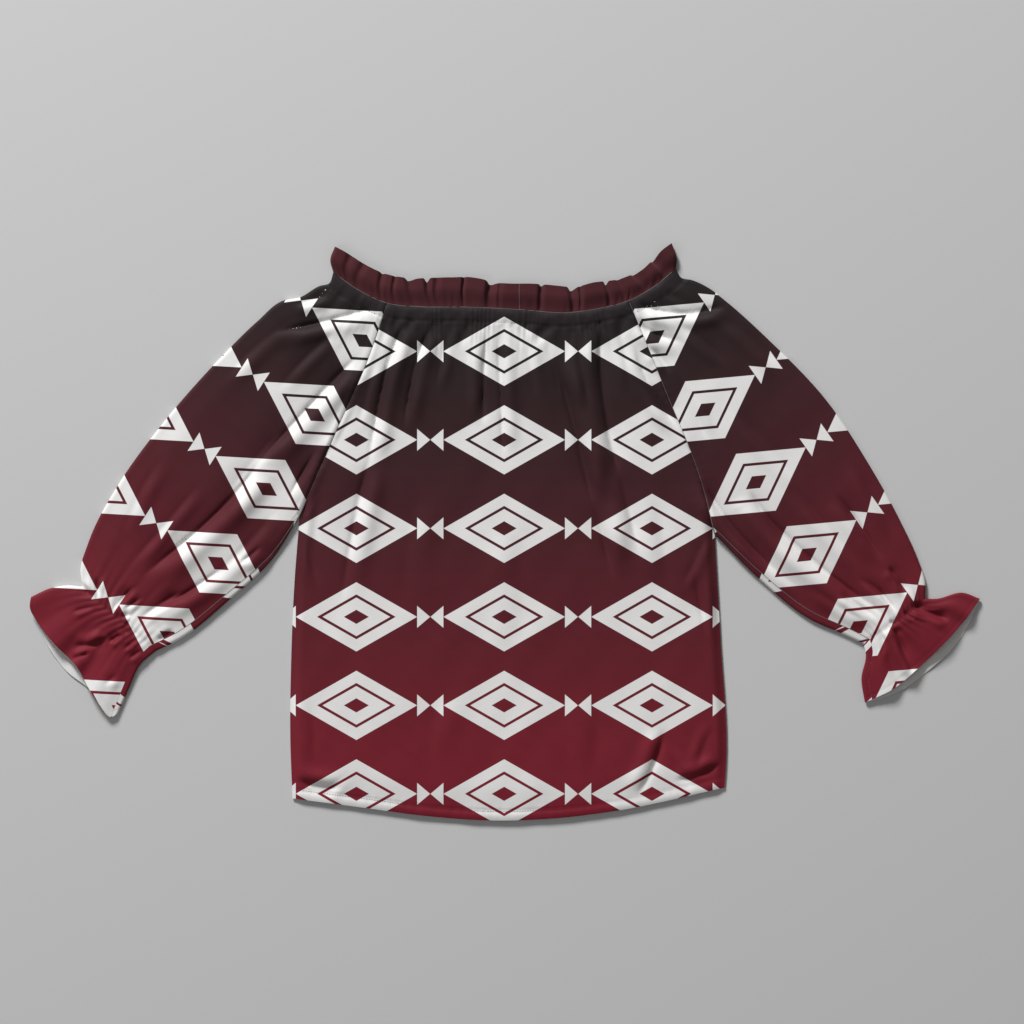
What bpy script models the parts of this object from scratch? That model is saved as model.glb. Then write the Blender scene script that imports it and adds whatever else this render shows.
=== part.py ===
"""Off-the-shoulder blouse with raglan sleeves, laid flat on its back.

Five cut pieces, each a thin closed wall in its own object: front_panel, back_panel,
sleeve_left, sleeve_right and neck_ruffle. The back lies on the surface, the front lies
on the back, and each sleeve is one piece that turns over its outer fold and its lower
fold to the seam that shows just inside the lower edge. The ruffle is one strip round
the neck, joined at the middle of the front.

X runs from the blouse's left side in the picture to its right side, Y from hem to neck,
Z up from the surface. Tables are in millimetres and meshes in metres.
"""
import math

import bpy
import numpy as np

MM = 0.001

# Driving dimensions, millimetres
HALF_CHEST = 480.0     # flat width from armpit to armpit
CHART_CHEST = 480.0    # the half chest that the outline tables below are drawn at
WALL = 1.05            # thickness of the cloth
SEAM_GAP = 0.30        # between two pieces that are sewn together
FOLD_RADIUS = 4.5      # how far a folded edge takes to round over
FOLD_HEIGHT = 5.4      # least height of a folded edge
SEAM_INSET = 9.0       # underarm seam, inside the sleeve's lower edge
BASE_HEIGHT = 4.6      # top of the upper layer where it lies smooth
LEAST_HEIGHT = 2.75    # top of the upper layer in its deepest trough
MOST_HEIGHT = 11.0     # top of the upper layer on its highest ridge
SIDE_LIFT = 1.15       # how far the back curls up at its side seams
SIDE_CURL = 7.0        # width of that curl
SIDE_SLOPE = 14.0      # width over which the front comes down to its side seams
RUFFLE_TOP = 8.6       # height of the ruffle's front between its folds
RUFFLE_DROP = 3.4      # depth of a fold there
RUFFLE_LEAST = 4.0     # top of the ruffle's front in its deepest fold
FOLD_LEAST_WIDTH = 3.4 # least half width of such a fold
BACK_WAVE = 1.1        # height of the waves of the ruffle's back stretch
BACK_SHORT = 0.20      # share by which the back stretch's edge lies lower than the front's
WRIST_RISE = 2.0       # how much higher the cloth stands at the wrist's elastic
WRIST_WAVE = 2.0       # half the height of the gathers at the wrist
FLOUNCE_WAVE = 2.0     # half the height of the flounce's waves
FLOUNCE_RISE = 1.4     # how much higher the flounce stands
PUFF_RISE = 1.3        # how much higher the sleeve stands in its middle

# Grid sizes
BODY_COLUMNS = 56
RAGLAN_ROWS = 10
SIDE_ROWS = 9
SLEEVE_COLUMNS = (21, 7)         # top layer, along the raglan seam and along the neck
SLEEVE_UNDER_COLUMNS = (21, 7)   # under layer, the same
SLEEVE_ROWS = 14
FLOUNCE_ROWS = 4
RUFFLE_COLUMNS = (92, 62)        # top layer, left and right of the join
RUFFLE_UNDER_COLUMNS = (38, 26)
RUFFLE_ROWS = 3
FOLD_ANGLES = (90.0, 128.0, 180.0, 232.0, 270.0)

# Outline, as x, y. The neck seam runs from the left fold to the right fold, and its
# points at NECK_LEFT and NECK_RIGHT are the tops of the two raglan seams.
NECK = [(-199, 302), (-170, 281.5), (-136, 266), (-99, 262), (-45, 261.5), (20, 258.5),
        (74, 255), (108, 259.5), (145, 269), (174, 285), (200, 306)]
NECK_LEFT = 2
NECK_RIGHT = 8
RUFFLE_EDGE = [(-197, 332), (-184, 325), (-166, 313.5), (-148, 304), (-134, 299), (-118, 296),
               (-103, 295), (-84, 295.5), (-62, 296), (-38, 296), (-26, 294), (-14, 290.5),
               (2, 289), (36, 288.5), (60, 286.5), (76, 285), (90, 286.5), (104, 290),
               (122, 292), (134, 294), (148, 299), (160, 304.5), (171, 314.5), (183, 327),
               (195, 336)]
RUFFLE_LEFT_FOLD = [(-199, 302), (-202.5, 316), (-197, 332)]
RUFFLE_RIGHT_FOLD = [(200, 306), (201, 319), (195, 336)]
RAGLAN_LEFT = [(-136, 266), (-158, 202), (-199, 109), (-238, 19)]
RAGLAN_RIGHT = [(145, 269), (188, 164), (229, 60), (245, -3)]
SIDE_LEFT = [(-238, 19), (-244, -56), (-248, -149), (-249, -243), (-246.5, -310.5)]
SIDE_RIGHT = [(245, -3), (252, -126), (258.5, -266), (256.5, -298)]
HEM = [(-246.5, -310.5), (-166, -321), (-95, -330.5), (-20, -336), (48, -334.5), (130, -325),
       (256.5, -298)]

# Sleeves: outer is the fold from neck to wrist, lower is the lower edge from armpit to
# wrist. The flounce's folds and the cuff's two edges run on from the wrist.
SLEEVE_LEFT = {
    "outer": [(-199, 302), (-204, 289), (-214, 286.5), (-238, 273), (-259, 268.5), (-287, 245.5),
              (-330, 203), (-397, 127), (-448, 57), (-484, -12), (-493.5, -47), (-491, -64)],
    "lower": [(-238, 19), (-271, -33), (-321, -80), (-379, -126), (-406, -139)],
    "wrist": [(-406, -139), (-430, -117), (-459, -93), (-491, -64)],
    "outer_flounce": [(-491, -64), (-508, -62.5), (-529, -66), (-551, -76)],
    "lower_flounce": [(-406, -139), (-424, -155), (-436, -180), (-450, -212)],
    "cuff_front": [(-450, -212), (-457, -215.5), (-471, -201), (-484, -181), (-498, -156),
                   (-520, -134), (-544, -104), (-552, -88), (-551, -76)],
    "cuff_back": [(-450, -212), (-467, -197), (-488, -179), (-508, -164), (-526, -142),
                  (-541, -112), (-550, -92), (-551, -76)],
}
SLEEVE_RIGHT = {
    "outer": [(200, 306), (206, 296), (219, 293), (238, 284), (257.5, 269), (309, 222.5),
              (376, 152), (422, 83), (461, 13), (482, -33), (490.5, -60), (490, -78)],
    "lower": [(245, -3), (298, -56), (357, -102.5), (395.5, -119.5), (418, -130)],
    "wrist": [(418, -130), (445, -112), (469, -96), (490, -78)],
    "outer_flounce": [(490, -78), (503, -78), (534, -71), (554, -78)],
    "lower_flounce": [(418, -130), (421, -142), (416, -171), (420, -199)],
    "cuff_front": [(420, -199), (435, -192), (451, -184), (477, -163), (511, -131),
                   (532, -108), (554, -78)],
    "cuff_back": [(420, -199), (446, -192), (468, -181.5), (499, -157.5), (516, -143),
                  (531, -125), (546, -98), (554, -78)],
}

# Folds of the ruffle's front. edge and seam are x at its free edge and at the neck seam,
# depth a share of RUFFLE_DROP, width the half width of the valley, notch how far the free
# edge dips there, and over is 1 where the cloth on the left lies over the fold.
FOLD_COLUMNS = ("edge", "seam", "depth", "width", "notch", "over")
RUFFLE_FOLDS = [
    (-179, -182, 0.45, 5.0, 0.0, 0), (-163, -171, 0.40, 5.0, 0.0, 0),
    (-142, -141, 0.60, 3.6, 1.5, 0), (-127, -126, 0.55, 2.6, 0.4, 0),
    (-112, -101, 0.85, 4.0, 3.6, 1), (-90, -83, 1.00, 3.4, 5.0, 0),
    (-78, -77, 0.45, 4.0, 0.0, 0), (-47, -47, 0.80, 2.0, 0.4, 0),
    (-17, -19, 1.30, 3.6, 3.8, 1), (-5, -7, 0.45, 4.0, 0.0, 0),
    (43, 41, 1.00, 3.0, 2.4, 0), (77, 80, 1.25, 3.4, 5.0, 1),
    (88, 88, 0.90, 3.0, 1.0, 0), (118, 122, 0.90, 2.8, 4.6, 0),
    (132, 140, 0.50, 4.0, 0.8, 0), (150, 163, 0.85, 3.4, 1.6, 1),
    (173, 187, 1.20, 4.0, 2.4, 1),
]
BACK_GATHERS = 20
WRIST_GATHERS = 8
FLOUNCE_WAVES = 4

# Creases of the upper layer. Each runs through three points. trough is how far it sinks,
# ridge how far the cloth rises beside it, side which side that is (1 is to the right
# of the way it runs), width its half width and fade the share of its length at each
# end over which it dies out.
CREASE_COLUMNS = ("x0", "y0", "x1", "y1", "x2", "y2", "trough", "ridge", "side", "width", "fade")
CREASES = [
    # Left sleeve: long diagonal in two runs, one beside it, shoulder folds, low folds
    (-166, 209, -220, 153, -297, 68, 1.8, 3.5, -1, 11, 0.30),
    (-285, 84, -330, 26, -427, -56, 2.1, 4.1, -1, 12, 0.25),
    (-217, 98, -236, 66, -252, 37, 1.3, 2.0, -1, 8, 0.35),
    (-150, 262, -205, 246, -275, 231, 1.6, 2.6, -1, 9, 0.30),
    (-203, 278, -224, 270, -246, 265, 1.3, 1.7, -1, 6, 0.35),
    (-325, -40, -365, -68, -423, -103, 1.3, 2.6, -1, 9, 0.30),
    (-282, -15, -296, -28, -312, -40, 1.3, 1.4, -1, 7, 0.40),
    # Front, from its left to its right
    (-116, 243, -139, 179, -158, 75, 1.8, 3.2, -1, 9, 0.20),
    (-154, 96, -172, 20, -191, -90, 1.6, 2.9, -1, 11, 0.35),
    (-83, 241, -104, 191, -117, 112, 1.4, 2.3, -1, 8, 0.30),
    (-20, 240, -24, 178, -24, 122, 1.3, 2.0, 1, 7, 0.35),
    (-8, 236, -4, 160, -1, 85, 1.3, 2.3, -1, 8, 0.30),
    (56, 214, 84, 114, 106, 22, 1.7, 3.2, -1, 10, 0.25),
    (102, 40, 116, -10, 128, -60, 1.3, 2.3, -1, 11, 0.40),
    (112, 240, 116, 153, 135, 60, 1.7, 3.2, 1, 10, 0.20),
    (133, 76, 146, 20, 160, -28, 1.2, 2.2, 1, 10, 0.40),
    (151, 222, 172, 165, 209, 116, 1.4, 2.3, 1, 8, 0.30),
    (216, -33, 228, -80, 236, -138, 1.0, 1.4, -1, 10, 0.40),
    # Right sleeve: shoulder folds, long diagonal, upper and under folds
    (150, 268, 206, 254, 262, 266, 1.7, 2.6, 1, 8, 0.25),
    (153, 246, 176, 230, 212, 221, 1.3, 2.2, 1, 8, 0.35),
    (168, 216, 182, 202, 194, 184, 1.0, 1.4, 1, 7, 0.40),
    (285, 50, 340, -18, 452, -102, 2.1, 3.9, 1, 12, 0.22),
    (386, 44, 412, 10, 442, -36, 1.4, 2.3, 1, 9, 0.30),
    (230, 64, 262, 10, 322, -52, 1.6, 2.6, 1, 10, 0.30),
    # Hem: crumpled corners
    (186, -226, 176, -268, 152, -312, 1.2, 2.3, 1, 9, 0.30),
    (256, -266, 228, -283, 196, -289, 1.2, 1.9, 1, 7, 0.35),
    (-249, -285, -218, -296, -180, -297, 1.2, 2.0, -1, 8, 0.35),
    # Left wrist: gathers above and below the elastic, then the flounce's pleats
    (-475, -52, -473, -64, -470, -78, 1.8, 1.2, -1, 4.0, 0.35),
    (-494, -62, -487, -68, -481, -78, 1.8, 1.2, -1, 5.0, 0.35),
    (-430, -62, -443, -77, -457, -93, 1.8, 1.6, -1, 5.0, 0.35),
    (-418, -74, -433, -84, -446, -92, 1.0, 0.8, -1, 3.5, 0.40),
    (-431, -97, -441, -98, -451, -100, 1.3, 1.0, -1, 3.5, 0.40),
    (-372, -69, -400, -84, -426, -105, 1.9, 1.6, -1, 5.5, 0.35),
    (-444, -109, -440, -115, -436, -121, 1.0, 0.8, -1, 3.5, 0.40),
    (-446, -119, -453, -124, -462, -129, 2.0, 1.4, -1, 4.5, 0.35),
    (-477, -87, -490, -90, -505, -94, 1.0, 0.9, -1, 4.0, 0.40),
    (-384, -113, -395, -121, -406, -127, 1.2, 0.8, 1, 5.0, 0.40),
    (-462, -122, -478, -131, -502, -132, 2.2, 1.8, 1, 6.0, 0.25),
    (-480, -141, -492, -144, -505, -149, 1.3, 1.0, 1, 4.0, 0.35),
    (-427, -124, -435, -131, -443, -139, 1.3, 1.0, -1, 4.0, 0.40),
    (-421, -137, -430, -143, -439, -150, 1.2, 1.0, -1, 4.0, 0.40),
    (-450, -166, -458, -172, -467, -180, 0.8, 0.8, -1, 5.0, 0.40),
    # Right wrist, the same
    (391, -69, 412, -86, 438, -103, 2.0, 1.6, 1, 6.0, 0.30),
    (411, -53, 436, -70, 456, -98, 1.6, 1.2, 1, 5.0, 0.35),
    (433, -62, 446, -79, 458, -94, 1.0, 0.8, 1, 3.5, 0.40),
    (446, -40, 458, -56, 469, -77, 1.9, 1.4, 1, 5.0, 0.30),
    (447, -105, 452, -106, 458, -108, 1.3, 0.8, 1, 4.0, 0.40),
    (455, -110, 464, -137, 477, -166, 2.2, 1.6, 1, 5.5, 0.15),
    (471, -84, 496, -95, 520, -103, 2.2, 1.6, 1, 6.0, 0.25),
    (463, -92, 470, -97, 478, -102, 1.2, 0.8, 1, 3.5, 0.40),
    (474, -85, 484, -85.5, 495, -87, 1.0, 0.8, -1, 3.5, 0.40),
    (431, -114, 441, -128, 438, -146, 0.9, 0.9, -1, 5.0, 0.40),
]

# Puckers below the neck's casing: how many, and how they vary from one to the next
PUCKERS = 24
PUCKER_START = 15.0    # smooth band below the neck seam
PUCKER_LENGTH = 46.0
PUCKER_DEPTH = 1.1
PUCKER_WIDTH = 4.6
PUCKER_MARGIN = 0.035  # share of the neck's length kept clear at each fold
GOLDEN = 0.618034      # spreads lengths and depths unevenly without chance


def scaled(points):
    """The table's points at the driving half chest."""
    return np.asarray(points, float) * (HALF_CHEST / CHART_CHEST)


def smooth(value):
    """Smooth step from 0 to 1."""
    share = np.clip(value, 0.0, 1.0)
    return share * share * (3.0 - 2.0 * share)


def curve(points):
    """A smooth curve through the points, as a function of 0 to 1 by chord length."""
    places = scaled(points)
    steps = np.linalg.norm(np.diff(places, axis=0), axis=1)
    knots = np.concatenate([[0.0], np.cumsum(steps)])
    slopes = np.gradient(places, knots, axis=0)

    def at(share):
        run = np.clip(np.asarray(share, float), 0.0, 1.0) * knots[-1]
        span = np.clip(np.searchsorted(knots, run, side="right") - 1, 0, len(steps) - 1)
        width = steps[span][..., None]
        t = (run - knots[span])[..., None] / width
        start = (2 * t**3 - 3 * t**2 + 1) * places[span] + (t**3 - 2 * t**2 + t) * width * slopes[span]
        end = (3 * t**2 - 2 * t**3) * places[span + 1] + (t**3 - t**2) * width * slopes[span + 1]
        return start + end

    return at


def knot_share(points, index):
    """Where on the curve through the points its point number index lies."""
    steps = np.linalg.norm(np.diff(scaled(points), axis=0), axis=1)
    return steps[:index].sum() / steps.sum()


def stretch(source, start, end):
    """The part of a curve from start to end, which may run backwards."""
    return lambda share: source(start + (end - start) * np.asarray(share, float))


def joined(first, second, share):
    """Two curves end to end, the first over the given share of the way."""
    def at(t):
        t = np.asarray(t, float)[..., None]
        low = first(np.clip(t[..., 0] / share, 0, 1))
        high = second(np.clip((t[..., 0] - share) / (1 - share), 0, 1))
        return np.where(t < share, low, high)

    return at


def patch(start, end, low, high):
    """The sheet between four curves: start and end run along v, low and high along u."""
    corners = [start(0.0), start(1.0), end(0.0), end(1.0)]

    def at(u, v):
        u = np.asarray(u, float)
        v = np.asarray(v, float)
        a, b = u[..., None], v[..., None]
        flat = ((1 - a) * (1 - b) * corners[0] + (1 - a) * b * corners[1]
                + a * (1 - b) * corners[2] + a * b * corners[3])
        return (1 - a) * start(v) + a * end(v) + (1 - b) * low(u) + b * high(u) - flat

    return at


neck = curve(NECK)
share_left = knot_share(NECK, NECK_LEFT)
share_right = knot_share(NECK, NECK_RIGHT)
raglan_left = curve(RAGLAN_LEFT)
raglan_right = curve(RAGLAN_RIGHT)


def line_length(points):
    return np.linalg.norm(np.diff(points, axis=-2), axis=-1).sum(axis=-1)


def neck_pucker(number):
    """Start, end, depth and width of one pucker that runs down from the neck's casing."""
    share = PUCKER_MARGIN + (1 - 2 * PUCKER_MARGIN) * (number + 0.5) / PUCKERS
    share += 0.25 / PUCKERS * math.sin(2.4 * number)
    mix = (number * GOLDEN) % 1.0
    place = neck(share)
    ahead = neck(share + 0.004) - neck(share - 0.004)
    down = np.array([ahead[1], -ahead[0]]) / np.linalg.norm(ahead)
    start = place + down * PUCKER_START
    end = place + down * (PUCKER_START + PUCKER_LENGTH * (0.5 + mix))
    return start, end, PUCKER_DEPTH * (0.5 + 0.8 * ((mix * 7.0) % 1.0)), PUCKER_WIDTH


def along_line(points, line):
    """Signed distance to a line of points, to its right, and the share of the way along."""
    best = np.full(len(points), np.inf)
    signed = np.zeros(len(points))
    way = np.zeros(len(points))
    count = len(line) - 1
    for number in range(count):
        step = line[number + 1] - line[number]
        offset = points - line[number]
        t = (offset @ step) / (step @ step)
        kept = np.clip(t, 0.0, 1.0)
        distance = np.linalg.norm(offset - kept[:, None] * step, axis=1)
        side = np.sign(offset[:, 0] * step[1] - offset[:, 1] * step[0])
        nearer = distance < best
        best = np.where(nearer, distance, best)
        signed = np.where(nearer, side * distance, signed)
        way = np.where(nearer, (number + kept) / count, way)
    return signed, way


def ends_fade(way, fade):
    return smooth(way / fade) * smooth((1.0 - way) / fade)


def creased_height(points):
    """Height of the upper layer's top at plan points, with its creases and puckers."""
    flat = points.reshape(-1, 2)
    height = np.full(len(flat), BASE_HEIGHT)
    steps = np.linspace(0.0, 1.0, 11)[:, None]
    for row in CREASES:
        fold = dict(zip(CREASE_COLUMNS, row))
        first, mid, last = scaled([(fold["x0"], fold["y0"]), (fold["x1"], fold["y1"]),
                                   (fold["x2"], fold["y2"])])
        pull = 2.0 * mid - 0.5 * (first + last)
        line = (1 - steps)**2 * first + 2 * steps * (1 - steps) * pull + steps**2 * last
        signed, way = along_line(flat, line)
        width = fold["width"]
        beside = signed * fold["side"] - 1.5 * width
        shape = fold["ridge"] * np.exp(-(beside / (1.15 * width))**2)
        shape -= fold["trough"] * np.exp(-(signed / (0.75 * width))**2)
        height += shape * ends_fade(way, fold["fade"])
    for number in range(PUCKERS):
        start, end, depth, width = neck_pucker(number)
        signed, way = along_line(flat, np.array([start, end]))
        height -= depth * np.exp(-(signed / width)**2) * smooth(way / 0.15) * (1.0 - smooth(way))
        height += 0.35 * depth * np.exp(-((np.abs(signed) - 2 * width) / width)**2) * (1.0 - smooth(way))
    return height.reshape(points.shape[:-1])


def slant(height, plan):
    """How much longer than the wall's thickness its vertical measure is, on a grid."""
    x, y = plan[..., 0], plan[..., 1]
    xu, xv = np.gradient(x)
    yu, yv = np.gradient(y)
    zu, zv = np.gradient(height)
    area = xu * yv - xv * yu
    area = np.where(np.abs(area) < 1e-9, 1e-9, area)
    zx = (zu * yv - zv * yu) / area
    zy = (zv * xu - zu * xv) / area
    return np.sqrt(1.0 + np.clip(zx**2 + zy**2, 0.0, 1.0))


def placed(plan, height):
    return np.concatenate([plan, height[..., None]], axis=-1)


def shifted_row(row, gap, side):
    """A row of plan points moved by gap to its right (side 1) or left (side -1)."""
    steps = np.diff(row, axis=0)
    steps /= np.linalg.norm(steps, axis=1)[:, None]
    normals = np.stack([steps[:, 1], -steps[:, 0]], axis=1) * side
    before = np.concatenate([normals[:1], normals])
    after = np.concatenate([normals, normals[-1:]])
    both = 1.0 + np.sum(before * after, axis=1)
    return row + gap * (before + after) / both[:, None]


def cloth_material(name, colour, roughness):
    material = bpy.data.materials.new(name)
    material.use_nodes = True
    shader = material.node_tree.nodes["Principled BSDF"]
    shader.inputs["Base Color"].default_value = (*colour, 1.0)
    shader.inputs["Roughness"].default_value = roughness
    shader.inputs["Metallic"].default_value = 0.0
    material.diffuse_color = (*colour, 1.0)
    return material


def wall_object(name, outer, inner, material):
    """A closed wall between two grids of points, joined all round their edges."""
    rows, columns = outer.shape[:2]
    grid = np.arange(rows * columns).reshape(rows, columns)
    deep = grid + rows * columns
    corners = [grid[:-1, :-1], grid[:-1, 1:], grid[1:, 1:], grid[1:, :-1]]
    a, b, c, d = (corner.ravel() for corner in corners)
    top = [np.stack([a, b, c], axis=1), np.stack([a, c, d], axis=1)]
    shift = rows * columns
    bottom = [faces[:, ::-1] + shift for faces in top]
    rim = np.concatenate([grid[0, :-1], grid[:-1, -1], grid[-1, :0:-1], grid[:0:-1, 0]])
    rim_deep = np.concatenate([deep[0, :-1], deep[:-1, -1], deep[-1, :0:-1], deep[:0:-1, 0]])
    after, after_deep = np.roll(rim, -1), np.roll(rim_deep, -1)
    walls = [np.stack([after, rim, rim_deep], axis=1),
             np.stack([after, rim_deep, after_deep], axis=1)]
    faces = np.concatenate(top + bottom + walls)
    points = np.concatenate([outer.reshape(-1, 3), inner.reshape(-1, 3)]) * MM
    corners = points[faces]
    volume = np.einsum("ij,ij->i", corners[:, 0], np.cross(corners[:, 1], corners[:, 2])).sum()
    if volume < 0:
        faces = faces[:, ::-1]
    mesh = bpy.data.meshes.new(name)
    mesh.from_pydata(points.tolist(), [], faces.tolist())
    mesh.update()
    mesh.shade_smooth()
    piece = bpy.data.objects.new(name, mesh)
    piece.data.materials.append(material)
    bpy.context.collection.objects.link(piece)
    return piece


# Front and back

RAGLAN_SHARE = 0.43    # share of the body's rows that run along the raglan seams
body_plan = patch(
    stretch(neck, share_left, share_right),
    curve(HEM),
    joined(raglan_left, curve(SIDE_LEFT), RAGLAN_SHARE),
    joined(raglan_right, curve(SIDE_RIGHT), RAGLAN_SHARE),
)


def body_grid():
    """Row and column shares of the body's grid, and its plan points."""
    above = RAGLAN_SHARE * np.linspace(0.0, 1.0, RAGLAN_ROWS + 1) ** 1.15
    below = RAGLAN_SHARE + (1 - RAGLAN_SHARE) * np.linspace(0.0, 1.0, SIDE_ROWS + 1)
    rows = np.concatenate([above, below[1:]])
    columns = np.linspace(0.0, 1.0, BODY_COLUMNS + 1)
    u, v = np.meshgrid(rows, columns, indexing="ij")
    plan = body_plan(u, v)
    plan[0] = shifted_row(plan[0], SEAM_GAP, 1)
    return u, v, plan


def side_distance(u, v, plan):
    """Distance from the nearer side seam, and how much of the side seam rule applies."""
    width = np.linalg.norm(plan[:, -1] - plan[:, 0], axis=1)[:, None]
    return np.minimum(v, 1.0 - v) * width, smooth((u - RAGLAN_SHARE + 0.06) / 0.06)


def make_front(material):
    u, v, plan = body_grid()
    distance, share = side_distance(u, v, plan)
    edge = SIDE_LIFT + 2 * WALL + SEAM_GAP + 0.15
    near = (1.0 - smooth(distance / SIDE_SLOPE)) * share
    height = np.clip(creased_height(plan), LEAST_HEIGHT, MOST_HEIGHT)
    height = height + (edge - height) * near
    outer = placed(plan, height)
    inner = placed(plan, height - WALL * slant(height, plan))
    return wall_object("front_panel", outer, inner, material)


def make_back(material):
    u, v, plan = body_grid()
    distance, share = side_distance(u, v, plan)
    curl = SIDE_LIFT * (1.0 - smooth(distance / SIDE_CURL)) * share
    outer = placed(plan, curl)
    inner = placed(plan, curl + WALL)
    return wall_object("back_panel", outer, inner, material)


# Sleeves and ruffle: flattened tubes, cut open at their seam

def spread(stops, counts):
    """Shares from stop to stop, in the given number of steps between each two."""
    runs = [np.linspace(start, end, count + 1)[:-1]
            for start, end, count in zip(stops, stops[1:], counts)]
    return np.concatenate(runs + [stops[-1:]])


def tube_nodes(length, seam, corner, columns, under_columns):
    """Places round one ring: layer 1 is the top and 0 the underside, share along the row.

    The ring starts at the seam on top, turns over the far fold, runs back underneath,
    turns over the near fold and ends at the seam. Angle is -1 away from the folds. One
    column runs through the corner share of every row, where its seam turns.
    """
    fold = FOLD_RADIUS / length
    gap = 0.5 * SEAM_GAP / length
    if corner > seam:
        start = spread([seam + gap, corner, 1 - fold], columns)
        end = spread([fold, seam - gap], [1])
    else:
        start = spread([seam + gap, 1 - fold], columns[1:])
        end = spread([fold, seam - gap], columns[:1])
    nodes = [(1, share, -1.0) for share in start[:-1]]
    for angle in FOLD_ANGLES:
        away = fold * (1 + math.cos(math.radians(angle)))
        nodes.append((1 if angle <= 180 else 0, 1 - away, angle))
    under = spread([1 - fold, corner, fold], under_columns[::-1])
    nodes += [(0, share, -1.0) for share in under[1:-1]]
    for angle in reversed(FOLD_ANGLES):
        away = fold * (1 + math.cos(math.radians(angle)))
        nodes.append((1 if angle <= 180 else 0, away, angle))
    nodes += [(1, share, -1.0) for share in end[1:]]
    return np.array(nodes)


def tube_piece(name, shares, seam_at, corner, columns, plan_top, plan_under, top_at, floor_at,
               first_gap, material):
    """A sheet that goes once round a flattened tube, from seam to seam.

    shares are the stations along the tube. plan_top and plan_under give each layer's plan
    points, top_at and floor_at the heights of the outside of the two layers.
    """
    outer_rows, inner_rows = [], []
    dense = np.linspace(0.0, 1.0, 41)
    for number, u in enumerate(shares):
        length = line_length(plan_top(np.full(41, u), dense))
        nodes = tube_nodes(length, seam_at(length), corner, *columns)
        layer, v, angle = nodes[:, 0], nodes[:, 1], np.radians(nodes[:, 2])
        top = plan_top(np.full(len(v), u), v)
        under = plan_under(np.full(len(v), u), v)
        if number == 0 and first_gap:
            top = shift_into(plan_top, u, v, top)
            under = top
        plan = np.where(layer[:, None] > 0.5, top, under)
        high = top_at(u, v, top, length)
        low = floor_at(u, v, under, length)
        fold = FOLD_RADIUS / length
        nearest = np.minimum(v, 1 - v) * length
        wanted = np.maximum(high, FOLD_HEIGHT)
        high = high + (wanted - high) * (1 - smooth((nearest - FOLD_RADIUS) / (2 * FOLD_RADIUS)))
        folded = nodes[:, 2] > 0
        ends = np.where(v < 0.5, fold, 1 - fold)
        rim_top = plan_top(np.full(len(v), u), ends)
        rim_high = np.maximum(top_at(u, ends, rim_top, length), FOLD_HEIGHT)
        rim_low = floor_at(u, ends, plan_under(np.full(len(v), u), ends), length)
        middle, half = 0.5 * (rim_high + rim_low), 0.5 * (rim_high - rim_low)
        z = np.where(layer > 0.5, high, low)
        z = np.where(folded, middle + half * np.sin(angle), z)
        outer = placed(plan, z)
        toward = np.where(v < 0.5, 1.0, -1.0)[:, None]
        ahead = plan_top(np.full(len(v), u), np.clip(v + 0.5 * fold, 0, 1))
        ahead = ahead - plan_top(np.full(len(v), u), np.clip(v - 0.5 * fold, 0, 1))
        inward = toward * ahead / np.linalg.norm(ahead, axis=1)[:, None]
        across = -np.cos(angle) / FOLD_RADIUS
        upward = -np.sin(angle) / half
        size = np.hypot(across, upward)
        lean = np.concatenate([inward * (across / size)[:, None], (upward / size)[:, None]], axis=1)
        run = np.linalg.norm(np.gradient(plan, axis=0), axis=1)
        steep = np.sqrt(1.0 + np.clip((np.gradient(z) / np.maximum(run, 0.5))**2, 0.0, 0.6))
        straight = np.zeros_like(outer)
        straight[:, 2] = np.where(layer > 0.5, -steep, steep)
        inner = outer + WALL * np.where(folded[:, None], lean, straight)
        outer_rows.append(outer)
        inner_rows.append(inner)
    return wall_object(name, np.array(outer_rows), np.array(inner_rows), material)


def shift_into(plan_top, u, v, points):
    """Points of a tube's first row moved in by the seam gap, away from its neighbour."""
    order = np.argsort(v, kind="stable")
    row, kept = np.unique(np.round(v[order], 9), return_index=True)
    line = plan_top(np.full(len(row), u), row)
    inside = plan_top(np.full(len(row), u + 0.02), row) - line
    ahead = np.gradient(line, axis=0)
    side = np.sign(np.median(inside[:, 0] * ahead[:, 1] - inside[:, 1] * ahead[:, 0]))
    moved = shifted_row(line, SEAM_GAP, side)
    index = np.searchsorted(row, np.round(v, 9))
    return points + (moved - line)[np.clip(index, 0, len(row) - 1)]


WRIST_SHARE = 0.80


def sleeve_plans(outline, raglan, neck_from, neck_to):
    """Plan functions of a sleeve's upper and under layers."""
    end = curve(outline["wrist"])
    run_raglan = line_length(raglan(np.linspace(0, 1, 41)))
    run_neck = line_length(stretch(neck, neck_from, neck_to)(np.linspace(0, 1, 41)))
    corner = run_raglan / (run_raglan + run_neck)
    start = joined(stretch(raglan, 1.0, 0.0), stretch(neck, neck_from, neck_to), corner)
    arm = patch(start, end, curve(outline["lower"]), curve(outline["outer"]))
    flounces = [patch(end, curve(outline[edge]), curve(outline["lower_flounce"]),
                      curve(outline["outer_flounce"])) for edge in ("cuff_front", "cuff_back")]

    def layer(flounce):
        def at(u, v):
            u = np.asarray(u, float)
            on_arm = arm(np.clip(u / WRIST_SHARE, 0, 1), v)
            beyond = flounce(np.clip((u - WRIST_SHARE) / (1 - WRIST_SHARE), 0, 1), v)
            return np.where((u <= WRIST_SHARE)[..., None], on_arm, beyond)

        return at

    return layer(flounces[0]), layer(flounces[1]), corner


def gather_wave(v, count, phase):
    """Uneven waves across a sleeve, between -1 and 1."""
    return np.cos(2 * np.pi * (count * v + 0.16 * np.sin(2 * np.pi * 1.7 * v + phase)) + phase)


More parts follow.
